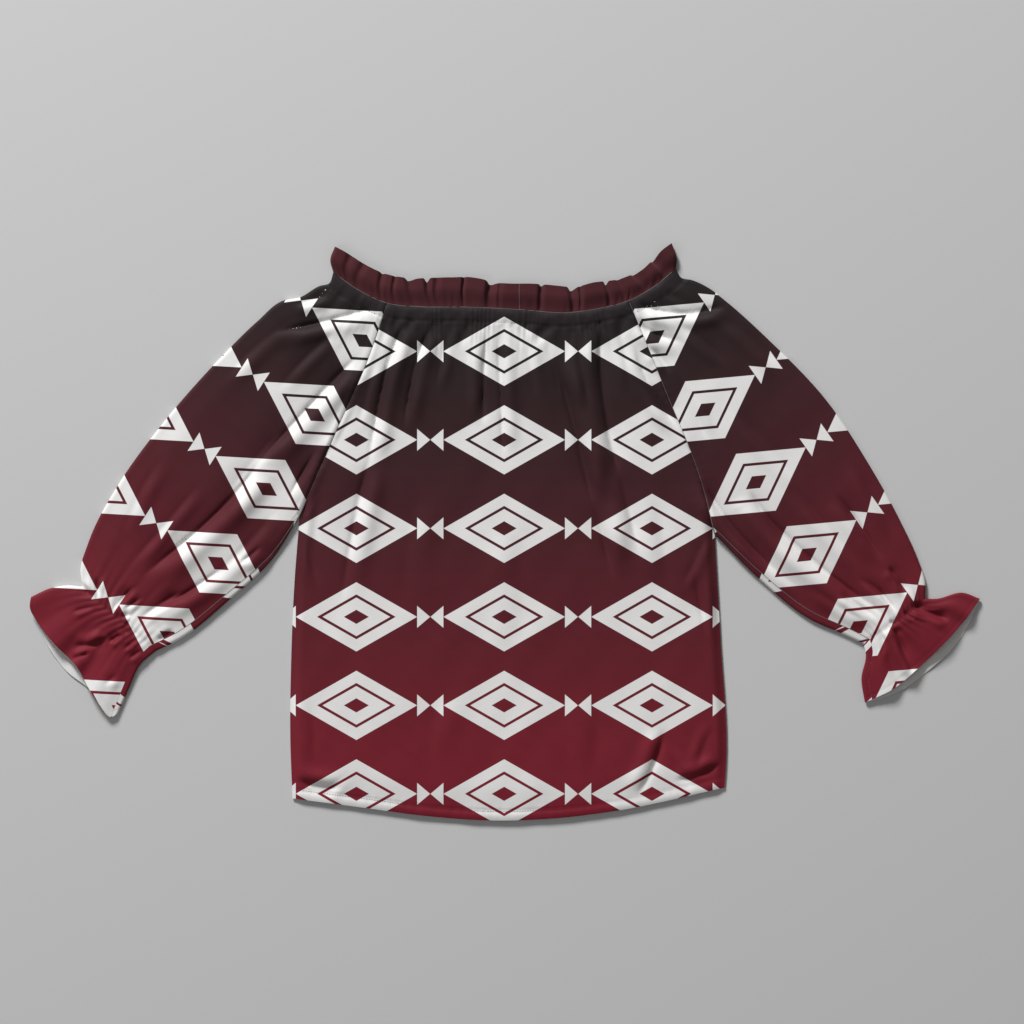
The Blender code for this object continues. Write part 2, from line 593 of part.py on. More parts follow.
def sleeve_heights(phase):
    """Height functions of a sleeve's two layers."""
    def top_at(u, v, plan, length):
        away = np.abs(u - WRIST_SHARE)
        at_wrist = np.exp(-(away / (0.055 if u < WRIST_SHARE else 0.10))**2)
        flounce = smooth((u - WRIST_SHARE) / (1 - WRIST_SHARE))
        arch = np.clip(np.sin(np.pi * v), 0.0, 1.0)
        height = creased_height(plan)
        height = height + PUFF_RISE * math.sin(math.pi * min(u / WRIST_SHARE, 1.0)) * arch
        height = height + WRIST_RISE * at_wrist * arch**0.5
        height = height + WRIST_WAVE * at_wrist * gather_wave(v, WRIST_GATHERS, phase) * arch**0.5
        wave = gather_wave(v, FLOUNCE_WAVES, phase + 1.0) * arch**0.5
        height = height + flounce * (FLOUNCE_RISE * arch**0.5 + FLOUNCE_WAVE * wave)
        return np.clip(height, LEAST_HEIGHT, MOST_HEIGHT)

    def floor_at(u, v, plan, length):
        return np.zeros(len(v))

    return top_at, floor_at


def make_sleeve(name, outline, raglan, neck_from, neck_to, phase, material):
    plan_top, plan_under, corner = sleeve_plans(outline, raglan, neck_from, neck_to)
    top_at, floor_at = sleeve_heights(phase)
    arm = WRIST_SHARE * np.linspace(0.0, 1.0, SLEEVE_ROWS + 1)
    beyond = WRIST_SHARE + (1 - WRIST_SHARE) * np.linspace(0.0, 1.0, FLOUNCE_ROWS + 1)
    shares = np.concatenate([arm, beyond[1:]])
    return tube_piece(name, shares, lambda length: SEAM_INSET / length, corner,
                      (SLEEVE_COLUMNS, SLEEVE_UNDER_COLUMNS), plan_top, plan_under,
                      top_at, floor_at, True, material)


def ruffle_shape(edge, dense):
    """Depth of the ruffle's folds and dip of its free edge, as functions of u, v and length."""
    def places(line, column):
        wanted = np.array([row[column] for row in RUFFLE_FOLDS]) * (HALF_CHEST / CHART_CHEST)
        return np.interp(wanted, line(dense)[:, 0], dense)

    at_edge, at_seam = places(edge, 0), places(neck, 1)

    def shape(u, v, length):
        depth, dip = np.zeros(len(v)), np.zeros(len(v))
        for number, row in enumerate(RUFFLE_FOLDS):
            fold = dict(zip(FOLD_COLUMNS, row))
            place = at_seam[number] + (at_edge[number] - at_seam[number]) * u
            run = (v - place) * length
            width = max(fold["width"], FOLD_LEAST_WIDTH)
            right = width * (2.4 if fold["over"] else 1.0)
            valley = np.exp(-(run / np.where(run < 0, 0.8 * width, right))**2)
            depth = np.maximum(depth, fold["depth"] * valley)
            dip = np.maximum(dip, fold["notch"] * valley**1.5)
        return depth, dip

    return shape


def make_ruffle(material):
    edge = curve(RUFFLE_EDGE)
    sheet = patch(neck, edge, curve(RUFFLE_LEFT_FOLD), curve(RUFFLE_RIGHT_FOLD))
    dense = np.linspace(0.0, 1.0, 801)
    seam = float(np.interp(18.0 * HALF_CHEST / CHART_CHEST, neck(dense)[:, 0], dense))
    shape = ruffle_shape(edge, dense)
    run = line_length(edge(dense))

    def plan_top(u, v):
        places = sheet(u, v)
        _depth, dip = shape(np.asarray(u, float), np.asarray(v, float), run)
        places[..., 1] -= dip * np.asarray(u, float)**2
        return places

    def plan_under(u, v):
        inside = smooth(np.minimum(v, 1 - v) * run / 26.0)
        return sheet(np.asarray(u, float) * (1.0 - BACK_SHORT * inside), v)

    def top_at(u, v, plan, length):
        base = creased_height(neck(v))
        middle = base + (RUFFLE_TOP - base) * smooth(u * 1.6)
        depth, _dip = shape(u, v, run)
        height = middle - RUFFLE_DROP * (0.30 + 0.70 * u) * depth
        return np.maximum(height, LEAST_HEIGHT + (RUFFLE_LEAST - LEAST_HEIGHT) * u)

    def floor_at(u, v, plan, length):
        inside = smooth(np.minimum(v, 1 - v) * length / 20.0)
        return BACK_WAVE * u * inside * (0.5 - 0.5 * np.cos(2 * np.pi * BACK_GATHERS * v))

    shares = np.linspace(0.0, 1.0, RUFFLE_ROWS + 1)
    return tube_piece("neck_ruffle", shares, lambda length: seam, seam,
                      (RUFFLE_COLUMNS, RUFFLE_UNDER_COLUMNS), plan_top, plan_under,
                      top_at, floor_at, False, material)


def main():
    for item in list(bpy.data.objects):
        bpy.data.objects.remove(item, do_unlink=True)
    make_front(cloth_material("front cloth", (0.060, 0.019, 0.023), 0.82))
    make_back(cloth_material("back cloth", (0.098, 0.018, 0.024), 0.84))
    make_sleeve("sleeve_left", SLEEVE_LEFT, raglan_left, share_left, 0.0, 0.4,
                cloth_material("left sleeve cloth", (0.080, 0.018, 0.024), 0.82))
    make_sleeve("sleeve_right", SLEEVE_RIGHT, raglan_right, share_right, 1.0, 2.1,
                cloth_material("right sleeve cloth", (0.085, 0.018, 0.024), 0.82))
    make_ruffle(cloth_material("ruffle cloth", (0.070, 0.019, 0.023), 0.80))


main()
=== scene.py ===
"""Looks of the off-shoulder blouse, laid flat: finer cloth, print, seams, stitches, light.

Every piece of cloth is a thin closed shell on the form of its solid, worked out from the
same tables, in millimetres, and scaled to metres when its mesh is made.
"""
import math

import bpy
import numpy as np
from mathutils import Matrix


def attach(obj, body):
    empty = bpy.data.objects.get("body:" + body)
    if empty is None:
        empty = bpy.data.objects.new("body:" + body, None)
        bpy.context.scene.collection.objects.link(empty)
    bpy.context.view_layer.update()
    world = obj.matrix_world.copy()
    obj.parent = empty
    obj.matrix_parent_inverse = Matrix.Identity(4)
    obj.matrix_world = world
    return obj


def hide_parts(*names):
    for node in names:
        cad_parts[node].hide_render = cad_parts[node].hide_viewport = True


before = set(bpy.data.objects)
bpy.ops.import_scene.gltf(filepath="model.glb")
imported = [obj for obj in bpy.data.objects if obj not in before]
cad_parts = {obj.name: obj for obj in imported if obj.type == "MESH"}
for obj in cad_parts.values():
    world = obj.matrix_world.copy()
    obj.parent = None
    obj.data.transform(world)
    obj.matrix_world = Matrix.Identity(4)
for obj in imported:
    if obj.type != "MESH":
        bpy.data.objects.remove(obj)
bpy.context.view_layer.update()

MM = 0.001

# Cloth and lay, millimetres
HALF_CHEST = 480.0
CHART_CHEST = 480.0
WALL = 0.5             # thickness of the shown cloth
SEAM_GAP = 0.16
FOLD_RADIUS = 4.5
FOLD_HEIGHT = 4.4
SEAM_INSET = 9.0
BASE_HEIGHT = 7.0
LEAST_HEIGHT = 2.7
MOST_HEIGHT = 15.0
SIDE_LIFT = 1.3
SIDE_CURL = 8.0
SIDE_SLOPE = 12.0
RUFFLE_TOP = 10.0      # height of the ruffle's front between its folds
RUFFLE_DROP = 6.2      # depth of a fold there
RUFFLE_LEAST = 3.0     # top of the ruffle's front in its deepest fold
FOLD_LEAST_WIDTH = 1.4 # least half width of such a fold
BACK_WAVE = 1.3        # height of the waves of the ruffle's back stretch
BACK_SHORT = 0.20      # share by which the back stretch's edge lies lower than the front's
WRIST_RISE = 2.0
FLOUNCE_RISE = 1.4
EDGE_DROP = 1.7        # how much lower a sleeve lies at its folds
EDGE_SLOPE = 26.0      # over this distance from them
HEM_DROP = 2.2         # how much lower the front lies at its hem
HEM_SLOPE = 42.0
UNDER_MOST = 1.5       # most that the under layer leaves the surface
PUFF_RISE = 1.0
CASING = 16.0          # from the neck seam to the stitch line of the elastic's casing
HEM_DEPTH = 10.5       # from the hem's edge to its stitch line
CUFF_HEM = 6.0         # the same on the flounces
FLOUNCE_LENGTH = 82.0
RUFFLE_HEIGHT = 31.0
RUFFLE_JOIN_X = 18.0   # where the ruffle's two ends are joined

# Grid sizes of the shown cloth
BODY_COLUMNS = 196
RAGLAN_ROWS = 110
SIDE_ROWS = 122
BACK_THIN = 2          # the back has one row or column for this many of the front's
SLEEVE_COLUMNS = (100, 30)
SLEEVE_UNDER_COLUMNS = (20, 8)
SLEEVE_ROWS = 168
FLOUNCE_ROWS = 46
RUFFLE_COLUMNS = (330, 230)
RUFFLE_UNDER_COLUMNS = (150, 110)
RUFFLE_ROWS = 18
FOLD_ANGLES = [90.0 + 18.0 * step for step in range(11)]    # round a sleeve's fold, top to bottom

# Picture frame: a pixel of the 1024 square is this wide, and its middle is this place
PIXEL = 1.165
PICTURE_SIDE = 1024
PICTURE_MIDDLE = (9.1, 23.0)
CAMERA_HEIGHT = 6.0
SENSOR = 36.0

# Outline, as x, y. The neck seam runs from the left fold to the right fold, and its
# points at NECK_LEFT and NECK_RIGHT are the tops of the two raglan seams.
NECK = [(-199, 302), (-170, 281.5), (-136, 266), (-99, 262), (-45, 261.5), (20, 258.5),
        (74, 255), (108, 259.5), (145, 269), (174, 285), (200, 306)]
NECK_LEFT = 2
NECK_RIGHT = 8
RUFFLE_EDGE = [(-197, 332), (-184, 325), (-166, 313.5), (-148, 304), (-134, 299), (-118, 296),
               (-103, 295), (-84, 295.5), (-62, 296), (-38, 296), (-26, 294), (-14, 290.5),
               (2, 289), (36, 288.5), (60, 286.5), (76, 285), (90, 286.5), (104, 290),
               (122, 292), (134, 294), (148, 299), (160, 304.5), (171, 314.5), (183, 327),
               (195, 336)]
RUFFLE_LEFT_FOLD = [(-199, 302), (-202.5, 316), (-197, 332)]
RUFFLE_RIGHT_FOLD = [(200, 306), (201, 319), (195, 336)]
RAGLAN_LEFT = [(-136, 266), (-158, 202), (-199, 109), (-238, 19)]
RAGLAN_RIGHT = [(145, 269), (188, 164), (229, 60), (245, -3)]
SIDE_LEFT = [(-238, 19), (-244, -56), (-248, -149), (-249, -243), (-246.5, -310.5)]
SIDE_RIGHT = [(245, -3), (252, -126), (258.5, -266), (256.5, -298)]
HEM = [(-246.5, -310.5), (-166, -321), (-95, -330.5), (-20, -336), (48, -334.5), (130, -325),
       (256.5, -298)]

# Sleeves: outer is the fold from neck to wrist, lower is the lower edge from armpit to
# wrist. The flounce's folds and the cuff's two edges run on from the wrist.
SLEEVE_LEFT = {
    "outer": [(-199, 302), (-204, 289), (-214, 286.5), (-238, 273), (-259, 268.5), (-287, 245.5),
              (-330, 203), (-397, 127), (-448, 57), (-484, -12), (-493.5, -47), (-491, -64)],
    "lower": [(-238, 19), (-271, -33), (-321, -80), (-379, -126), (-406, -139)],
    "wrist": [(-406, -139), (-430, -117), (-459, -93), (-491, -64)],
    "outer_flounce": [(-491, -64), (-508, -62.5), (-529, -66), (-551, -76)],
    "lower_flounce": [(-406, -139), (-424, -155), (-436, -180), (-450, -212)],
    "cuff_front": [(-450, -212), (-457, -215.5), (-471, -201), (-484, -181), (-498, -156),
                   (-520, -134), (-544, -104), (-552, -88), (-551, -76)],
    "cuff_back": [(-450, -212), (-467, -197), (-488, -179), (-508, -164), (-526, -142),
                  (-541, -112), (-550, -92), (-551, -76)],
}
SLEEVE_RIGHT = {
    "outer": [(200, 306), (206, 296), (219, 293), (238, 284), (257.5, 269), (309, 222.5),
              (376, 152), (422, 83), (461, 13), (482, -33), (490.5, -60), (490, -78)],
    "lower": [(245, -3), (298, -56), (357, -102.5), (395.5, -119.5), (418, -130)],
    "wrist": [(418, -130), (445, -112), (469, -96), (490, -78)],
    "outer_flounce": [(490, -78), (503, -78), (534, -71), (554, -78)],
    "lower_flounce": [(418, -130), (421, -142), (416, -171), (420, -199)],
    "cuff_front": [(420, -199), (435, -192), (451, -184), (477, -163), (511, -131),
                   (532, -108), (554, -78)],
    "cuff_back": [(420, -199), (446, -192), (468, -181.5), (499, -157.5), (516, -143),
                  (531, -125), (546, -98), (554, -78)],
}

# Folds of the ruffle's front. edge and seam are x at its free edge and at the neck seam,
# depth a share of RUFFLE_DROP, width the half width of the valley, notch how far the free
# edge dips there, and over is 1 where the cloth on the left lies over the fold.
FOLD_COLUMNS = ("edge", "seam", "depth", "width", "notch", "over")
RUFFLE_FOLDS = [
    (-179, -182, 0.45, 5.0, 0.0, 0), (-163, -171, 0.40, 5.0, 0.0, 0),
    (-142, -141, 0.60, 3.6, 1.5, 0), (-127, -126, 0.55, 2.6, 0.4, 0),
    (-112, -101, 0.85, 4.0, 3.6, 1), (-90, -83, 1.00, 3.4, 5.0, 0),
    (-78, -77, 0.45, 4.0, 0.0, 0), (-47, -47, 0.80, 2.0, 0.4, 0),
    (-17, -19, 1.30, 3.6, 3.8, 1), (-5, -7, 0.45, 4.0, 0.0, 0),
    (43, 41, 1.00, 3.0, 2.4, 0), (77, 80, 1.25, 3.4, 5.0, 1),
    (88, 88, 0.90, 3.0, 1.0, 0), (118, 122, 0.90, 2.8, 4.6, 0),
    (132, 140, 0.50, 4.0, 0.8, 0), (150, 163, 0.85, 3.4, 1.6, 1),
    (173, 187, 1.20, 4.0, 2.4, 1),
]
BACK_GATHERS = 20

# Creases of the upper layer. Each runs through three points. trough is how far it sinks,
# ridge how far the cloth rises beside it, side which side that is (1 is to the right
# of the way it runs), width its half width and fade the share of its length at each
# end over which it dies out.
CREASE_COLUMNS = ("x0", "y0", "x1", "y1", "x2", "y2", "trough", "ridge", "side", "width", "fade")
CREASES = [
    # Left sleeve: long diagonal in two runs, one beside it, shoulder folds, low folds
    (-166, 209, -220, 153, -297, 68, 1.8, 3.5, -1, 11, 0.30),
    (-285, 84, -330, 26, -427, -56, 2.1, 4.1, -1, 12, 0.25),
    (-217, 98, -236, 66, -252, 37, 1.3, 2.0, -1, 8, 0.35),
    (-150, 262, -205, 246, -275, 231, 1.6, 2.6, -1, 9, 0.30),
    (-203, 278, -224, 270, -246, 265, 1.3, 1.7, -1, 6, 0.35),
    (-325, -40, -365, -68, -423, -103, 1.3, 2.6, -1, 9, 0.30),
    (-282, -15, -296, -28, -312, -40, 1.3, 1.4, -1, 7, 0.40),
    # Front, from its left to its right
    (-116, 243, -139, 179, -158, 75, 1.8, 3.2, -1, 9, 0.20),
    (-154, 96, -172, 20, -191, -90, 1.6, 2.9, -1, 11, 0.35),
    (-83, 241, -104, 191, -117, 112, 1.4, 2.3, -1, 8, 0.30),
    (-20, 240, -24, 178, -24, 122, 1.3, 2.0, 1, 7, 0.35),
    (-8, 236, -4, 160, -1, 85, 1.3, 2.3, -1, 8, 0.30),
    (56, 214, 84, 114, 106, 22, 1.7, 3.2, -1, 10, 0.25),
    (102, 40, 116, -10, 128, -60, 1.3, 2.3, -1, 11, 0.40),
    (112, 240, 116, 153, 135, 60, 1.7, 3.2, 1, 10, 0.20),
    (133, 76, 146, 20, 160, -28, 1.2, 2.2, 1, 10, 0.40),
    (151, 222, 172, 165, 209, 116, 1.4, 2.3, 1, 8, 0.30),
    (216, -33, 228, -80, 236, -138, 1.0, 1.4, -1, 10, 0.40),
    # Right sleeve: shoulder folds, long diagonal, upper and under folds
    (150, 268, 206, 254, 262, 266, 1.7, 2.6, 1, 8, 0.25),
    (153, 246, 176, 230, 212, 221, 1.3, 2.2, 1, 8, 0.35),
    (168, 216, 182, 202, 194, 184, 1.0, 1.4, 1, 7, 0.40),
    (285, 50, 340, -18, 452, -102, 2.1, 3.9, 1, 12, 0.22),
    (386, 44, 412, 10, 442, -36, 1.4, 2.3, 1, 9, 0.30),
    (230, 64, 262, 10, 322, -52, 1.6, 2.6, 1, 10, 0.30),
    # Hem: crumpled corners
    (186, -226, 176, -268, 152, -312, 1.2, 2.3, 1, 9, 0.30),
    (256, -266, 228, -283, 196, -289, 1.2, 1.9, 1, 7, 0.35),
    (-249, -285, -218, -296, -180, -297, 1.2, 2.0, -1, 8, 0.35),
    # Left wrist: gathers above and below the elastic, then the flounce's pleats
    (-475, -52, -473, -64, -470, -78, 1.8, 1.2, -1, 4.0, 0.35),
    (-494, -62, -487, -68, -481, -78, 1.8, 1.2, -1, 5.0, 0.35),
    (-430, -62, -443, -77, -457, -93, 1.8, 1.6, -1, 5.0, 0.35),
    (-418, -74, -433, -84, -446, -92, 1.0, 0.8, -1, 3.5, 0.40),
    (-431, -97, -441, -98, -451, -100, 1.3, 1.0, -1, 3.5, 0.40),
    (-372, -69, -400, -84, -426, -105, 1.9, 1.6, -1, 5.5, 0.35),
    (-444, -109, -440, -115, -436, -121, 1.0, 0.8, -1, 3.5, 0.40),
    (-446, -119, -453, -124, -462, -129, 2.0, 1.4, -1, 4.5, 0.35),
    (-477, -87, -490, -90, -505, -94, 1.0, 0.9, -1, 4.0, 0.40),
    (-384, -113, -395, -121, -406, -127, 1.2, 0.8, 1, 5.0, 0.40),
    (-462, -122, -478, -131, -502, -132, 2.2, 1.8, 1, 6.0, 0.25),
    (-480, -141, -492, -144, -505, -149, 1.3, 1.0, 1, 4.0, 0.35),
    (-427, -124, -435, -131, -443, -139, 1.3, 1.0, -1, 4.0, 0.40),
    (-421, -137, -430, -143, -439, -150, 1.2, 1.0, -1, 4.0, 0.40),
    (-450, -166, -458, -172, -467, -180, 0.8, 0.8, -1, 5.0, 0.40),
    # Right wrist, the same
    (391, -69, 412, -86, 438, -103, 2.0, 1.6, 1, 6.0, 0.30),
    (411, -53, 436, -70, 456, -98, 1.6, 1.2, 1, 5.0, 0.35),
    (433, -62, 446, -79, 458, -94, 1.0, 0.8, 1, 3.5, 0.40),
    (446, -40, 458, -56, 469, -77, 1.9, 1.4, 1, 5.0, 0.30),
    (447, -105, 452, -106, 458, -108, 1.3, 0.8, 1, 4.0, 0.40),
    (455, -110, 464, -137, 477, -166, 2.2, 1.6, 1, 5.5, 0.15),
    (471, -84, 496, -95, 520, -103, 2.2, 1.6, 1, 6.0, 0.25),
    (463, -92, 470, -97, 478, -102, 1.2, 0.8, 1, 3.5, 0.40),
    (474, -85, 484, -85.5, 495, -87, 1.0, 0.8, -1, 3.5, 0.40),
    (431, -114, 441, -128, 438, -146, 0.9, 0.9, -1, 5.0, 0.40),
]


def scaled(points):
    """The table's points at the driving half chest."""
    return np.asarray(points, float) * (HALF_CHEST / CHART_CHEST)


def smooth(value):
    """Smooth step from 0 to 1."""
    share = np.clip(value, 0.0, 1.0)
    return share * share * (3.0 - 2.0 * share)


def curve(points):
    """A smooth curve through the points, as a function of 0 to 1 by chord length."""
    places = scaled(points)
    steps = np.linalg.norm(np.diff(places, axis=0), axis=1)
    knots = np.concatenate([[0.0], np.cumsum(steps)])
    slopes = np.gradient(places, knots, axis=0)

    def at(share):
        run = np.clip(np.asarray(share, float), 0.0, 1.0) * knots[-1]
        span = np.clip(np.searchsorted(knots, run, side="right") - 1, 0, len(steps) - 1)
        width = steps[span][..., None]
        t = (run - knots[span])[..., None] / width
        start = (2 * t**3 - 3 * t**2 + 1) * places[span] + (t**3 - 2 * t**2 + t) * width * slopes[span]
        end = (3 * t**2 - 2 * t**3) * places[span + 1] + (t**3 - t**2) * width * slopes[span + 1]
        return start + end

    return at


def knot_share(points, index):
    """Where on the curve through the points its point number index lies."""
    steps = np.linalg.norm(np.diff(scaled(points), axis=0), axis=1)
    return steps[:index].sum() / steps.sum()


def stretch(source, start, end):
    """The part of a curve from start to end, which may run backwards."""
    return lambda share: source(start + (end - start) * np.asarray(share, float))


def joined(first, second, share):
    """Two curves end to end, the first over the given share of the way."""
    def at(t):
        t = np.asarray(t, float)[..., None]
        low = first(np.clip(t[..., 0] / share, 0, 1))
        high = second(np.clip((t[..., 0] - share) / (1 - share), 0, 1))
        return np.where(t < share, low, high)

    return at


def patch(start, end, low, high):
    """The sheet between four curves: start and end run along v, low and high along u."""
    corners = [start(0.0), start(1.0), end(0.0), end(1.0)]

    def at(u, v):
        u = np.asarray(u, float)
        v = np.asarray(v, float)
        a, b = u[..., None], v[..., None]
        flat = ((1 - a) * (1 - b) * corners[0] + (1 - a) * b * corners[1]
                + a * (1 - b) * corners[2] + a * b * corners[3])
        return (1 - a) * start(v) + a * end(v) + (1 - b) * low(u) + b * high(u) - flat

    return at


neck = curve(NECK)
share_left = knot_share(NECK, NECK_LEFT)
share_right = knot_share(NECK, NECK_RIGHT)
raglan_left = curve(RAGLAN_LEFT)
raglan_right = curve(RAGLAN_RIGHT)


def line_length(points):
    return np.linalg.norm(np.diff(points, axis=-2), axis=-1).sum(axis=-1)


def along_line(points, line):
    """Signed distance to a line of points, to its right, and the share of the way along."""
    best = np.full(len(points), np.inf)
    signed = np.zeros(len(points))
    way = np.zeros(len(points))
    count = len(line) - 1
    for number in range(count):
        step = line[number + 1] - line[number]
        offset = points - line[number]
        t = (offset @ step) / (step @ step)
        kept = np.clip(t, 0.0, 1.0)
        distance = np.linalg.norm(offset - kept[:, None] * step, axis=1)
        side = np.sign(offset[:, 0] * step[1] - offset[:, 1] * step[0])
        nearer = distance < best
        best = np.where(nearer, distance, best)
        signed = np.where(nearer, side * distance, signed)
        way = np.where(nearer, (number + kept) / count, way)
    return signed, way


def ends_fade(way, fade):
    return smooth(way / fade) * smooth((1.0 - way) / fade)


def slant(height, plan):
    """How much longer than the wall's thickness its vertical measure is, on a grid."""
    x, y = plan[..., 0], plan[..., 1]
    xu, xv = np.gradient(x)
    yu, yv = np.gradient(y)
    zu, zv = np.gradient(height)
    area = xu * yv - xv * yu
    area = np.where(np.abs(area) < 1e-9, 1e-9, area)
    zx = (zu * yv - zv * yu) / area
    zy = (zv * xu - zu * xv) / area
    return np.sqrt(1.0 + np.clip(zx**2 + zy**2, 0.0, 1.0))


def placed(plan, height):
    return np.concatenate([plan, height[..., None]], axis=-1)


def shifted_row(row, gap, side):
    """A row of plan points moved by gap to its right (side 1) or left (side -1)."""
    steps = np.diff(row, axis=0)
    steps /= np.linalg.norm(steps, axis=1)[:, None]
    normals = np.stack([steps[:, 1], -steps[:, 0]], axis=1) * side
    before = np.concatenate([normals[:1], normals])
    after = np.concatenate([normals, normals[-1:]])
    both = 1.0 + np.sum(before * after, axis=1)
    return row + gap * (before + after) / both[:, None]


# Lesser creases, with the same columns: those between the main ones, and fine ones that
# fan out from the gathers, the armpits and the wrists.
FINE_CREASES = [
    # Left sleeve
    (-180, 246, -228, 205, -268, 160, 0.7, 1.3, -1, 7, 0.35),
    (-232, 258, -290, 214, -334, 166, 0.6, 1.2, -1, 8, 0.40),
    (-168, 152, -200, 98, -232, 48, 0.6, 1.0, 1, 6, 0.35),
    (-246, 132, -292, 82, -330, 34, 0.7, 1.3, -1, 8, 0.40),
    (-262, 30, -306, -22, -352, -66, 0.8, 1.5, -1, 8, 0.35),
    (-392, 96, -424, 44, -446, -10, 0.6, 1.2, -1, 8, 0.40),
    (-352, 60, -396, 6, -440, -44, 0.7, 1.4, -1, 7, 0.35),
    (-244, 2, -262, -20, -288, -42, 0.6, 1.0, -1, 5, 0.40),
    (-224, 50, -238, 24, -252, 4, 0.7, 0.9, -1, 5, 0.40),
    # Front
    (-146, 214, -160, 160, -172, 118, 0.6, 1.0, -1, 6, 0.35),
    (-62, 244, -72, 202, -80, 160, 0.7, 1.1, -1, 6, 0.35),
    (22, 242, 30, 196, 38, 150, 0.7, 1.2, -1, 6, 0.35),
    (44, 236, 58, 190, 66, 150, 0.6, 1.0, -1, 5, 0.35),
    (82, 238, 92, 184, 100, 136, 0.7, 1.2, 1, 6, 0.35),
    (134, 240, 142, 196, 150, 160, 0.6, 1.0, 1, 6, 0.35),
    (-212, 62, -220, 6, -224, -60, 0.6, 1.2, 1, 9, 0.40),
    (-232, 8, -226, -30, -212, -74, 0.7, 1.0, 1, 6, 0.40),
    (-96, 60, -112, -20, -118, -110, 0.5, 1.2, -1, 14, 0.45),
    (10, 30, 20, -60, 16, -150, 0.5, 1.1, 1, 16, 0.45),
    (172, 60, 184, -10, 190, -90, 0.6, 1.2, 1, 12, 0.45),
    (238, 2, 222, -34, 204, -70, 0.7, 1.0, -1, 6, 0.40),
    (-60, -170, -84, -230, -80, -300, 0.4, 1.0, -1, 14, 0.45),
    (96, -180, 108, -240, 92, -310, 0.4, 1.0, 1, 13, 0.45),
    (-232, -180, -222, -230, -226, -290, 0.5, 1.0, 1, 8, 0.45),
    (-206, -316, -198, -296, -176, -280, 0.6, 0.9, 1, 6, 0.40),
    (226, -300, 206, -280, 190, -248, 0.7, 1.2, 1, 6, 0.40),
    (246, -226, 232, -250, 224, -286, 0.6, 1.1, 1, 6, 0.40),
    # Right sleeve
    (176, 256, 226, 226, 262, 190, 0.7, 1.2, 1, 7, 0.35),
    (232, 262, 288, 224, 330, 180, 0.6, 1.2, 1, 8, 0.40),
    (196, 190, 222, 140, 240, 92, 0.6, 1.0, -1, 6, 0.35),
    (262, 150, 306, 100, 350, 48, 0.6, 1.3, 1, 9, 0.40),
    (330, 60, 374, 8, 414, -42, 0.7, 1.4, 1, 8, 0.35),
    (256, 20, 300, -30, 356, -76, 0.8, 1.4, 1, 7, 0.35),
    (400, 92, 434, 34, 458, -24, 0.6, 1.2, 1, 8, 0.40),
    (250, -6, 268, -26, 294, -46, 0.7, 0.9, 1, 5, 0.40),
    (352, -60, 392, -88, 430, -108, 0.6, 1.2, 1, 6, 0.35),
]

# Creases of the layer that lies on the surface: lift is how far the cloth leaves it.
UNDER_COLUMNS = ("x0", "y0", "x1", "y1", "x2", "y2", "lift", "width", "fade")
UNDER_CREASES = [
    (-110, 240, -132, 170, -150, 70, 1.2, 9, 0.30),
    (-60, 244, -74, 180, -84, 100, 1.0, 8, 0.30),
    (-4, 240, -8, 160, -2, 60, 1.1, 9, 0.30),
    (52, 236, 70, 160, 84, 70, 1.2, 9, 0.30),
    (110, 240, 124, 160, 146, 60, 1.2, 10, 0.30),
    (-190, 90, -206, 0, -210, -110, 0.9, 12, 0.40),
    (190, 80, 204, 0, 210, -120, 0.9, 12, 0.40),
    (-60, -120, -90, -210, -84, -310, 0.9, 14, 0.40),
    (70, -140, 100, -220, 96, -310, 0.9, 14, 0.40),
    (-190, 230, -270, 150, -350, 40, 1.2, 11, 0.30),
    (-260, 90, -330, 10, -410, -70, 1.3, 12, 0.30),
    (-330, -40, -380, -80, -440, -104, 1.1, 8, 0.30),
    (200, 240, 280, 150, 350, 50, 1.2, 11, 0.30),
    (270, 80, 340, 0, 430, -80, 1.3, 12, 0.30),
    (340, -50, 390, -88, 440, -108, 1.1, 8, 0.30),
]

PUCKERS = 24
PUCKER_LENGTH = 46.0
PUCKER_DEPTH = 1.7
PUCKER_WIDTH = 4.6
PUCKER_MARGIN = 0.035
GOLDEN = 0.618034
RELIEF = 1.3           # how much stronger the creases stand than in the table
CORE_SHARE = 1.0       # extra depth of a main crease's narrow core, as a share of its trough
CORE_LEAST = 1.9       # least half width of that core
SLOPE_SHARE = 0.55     # depth of the long slope down to it on the side without the ridge
RIDGE_AWAY = 1.35      # from a crease's middle to its ridge's, in half widths
TROUGH_HALF = 0.55     # half widths of its trough, core and slope, in the crease's own
CORE_HALF = 0.24
SLOPE_AWAY = 0.6
SLOPE_HALF = 1.1
UNEVEN = 0.18          # how much a crease's depth varies along it
NECK_REACH_Y = 150.0   # the neck's gathers and the hem's pulls end at these levels
HEM_REACH_Y = -230.0
FINE_GATHERS = 54      # small gathers along the neck's front
NECK_STEPS = 160
SEAM_STEPS = 60


def neck_pucker(number):
    """Start, end, depth and width of one pucker that runs down from the neck's casing."""
    share = PUCKER_MARGIN + (1 - 2 * PUCKER_MARGIN) * (number + 0.5) / PUCKERS
    share += 0.25 / PUCKERS * math.sin(2.4 * number)
    mix = (number * GOLDEN) % 1.0
    place = neck(share)
    ahead = neck(share + 0.004) - neck(share - 0.004)
    down = np.array([ahead[1], -ahead[0]]) / np.linalg.norm(ahead)
    turn = 0.65 * math.sin(5.1 * number + 0.4)
    slanted = down + turn * np.array([down[1], -down[0]])
    start = place + down * (CASING - 1.0)
    end = start + slanted * PUCKER_LENGTH * (0.35 + 0.9 * mix)
    return start, end, PUCKER_DEPTH * (0.5 + 0.8 * ((mix * 7.0) % 1.0)), PUCKER_WIDTH


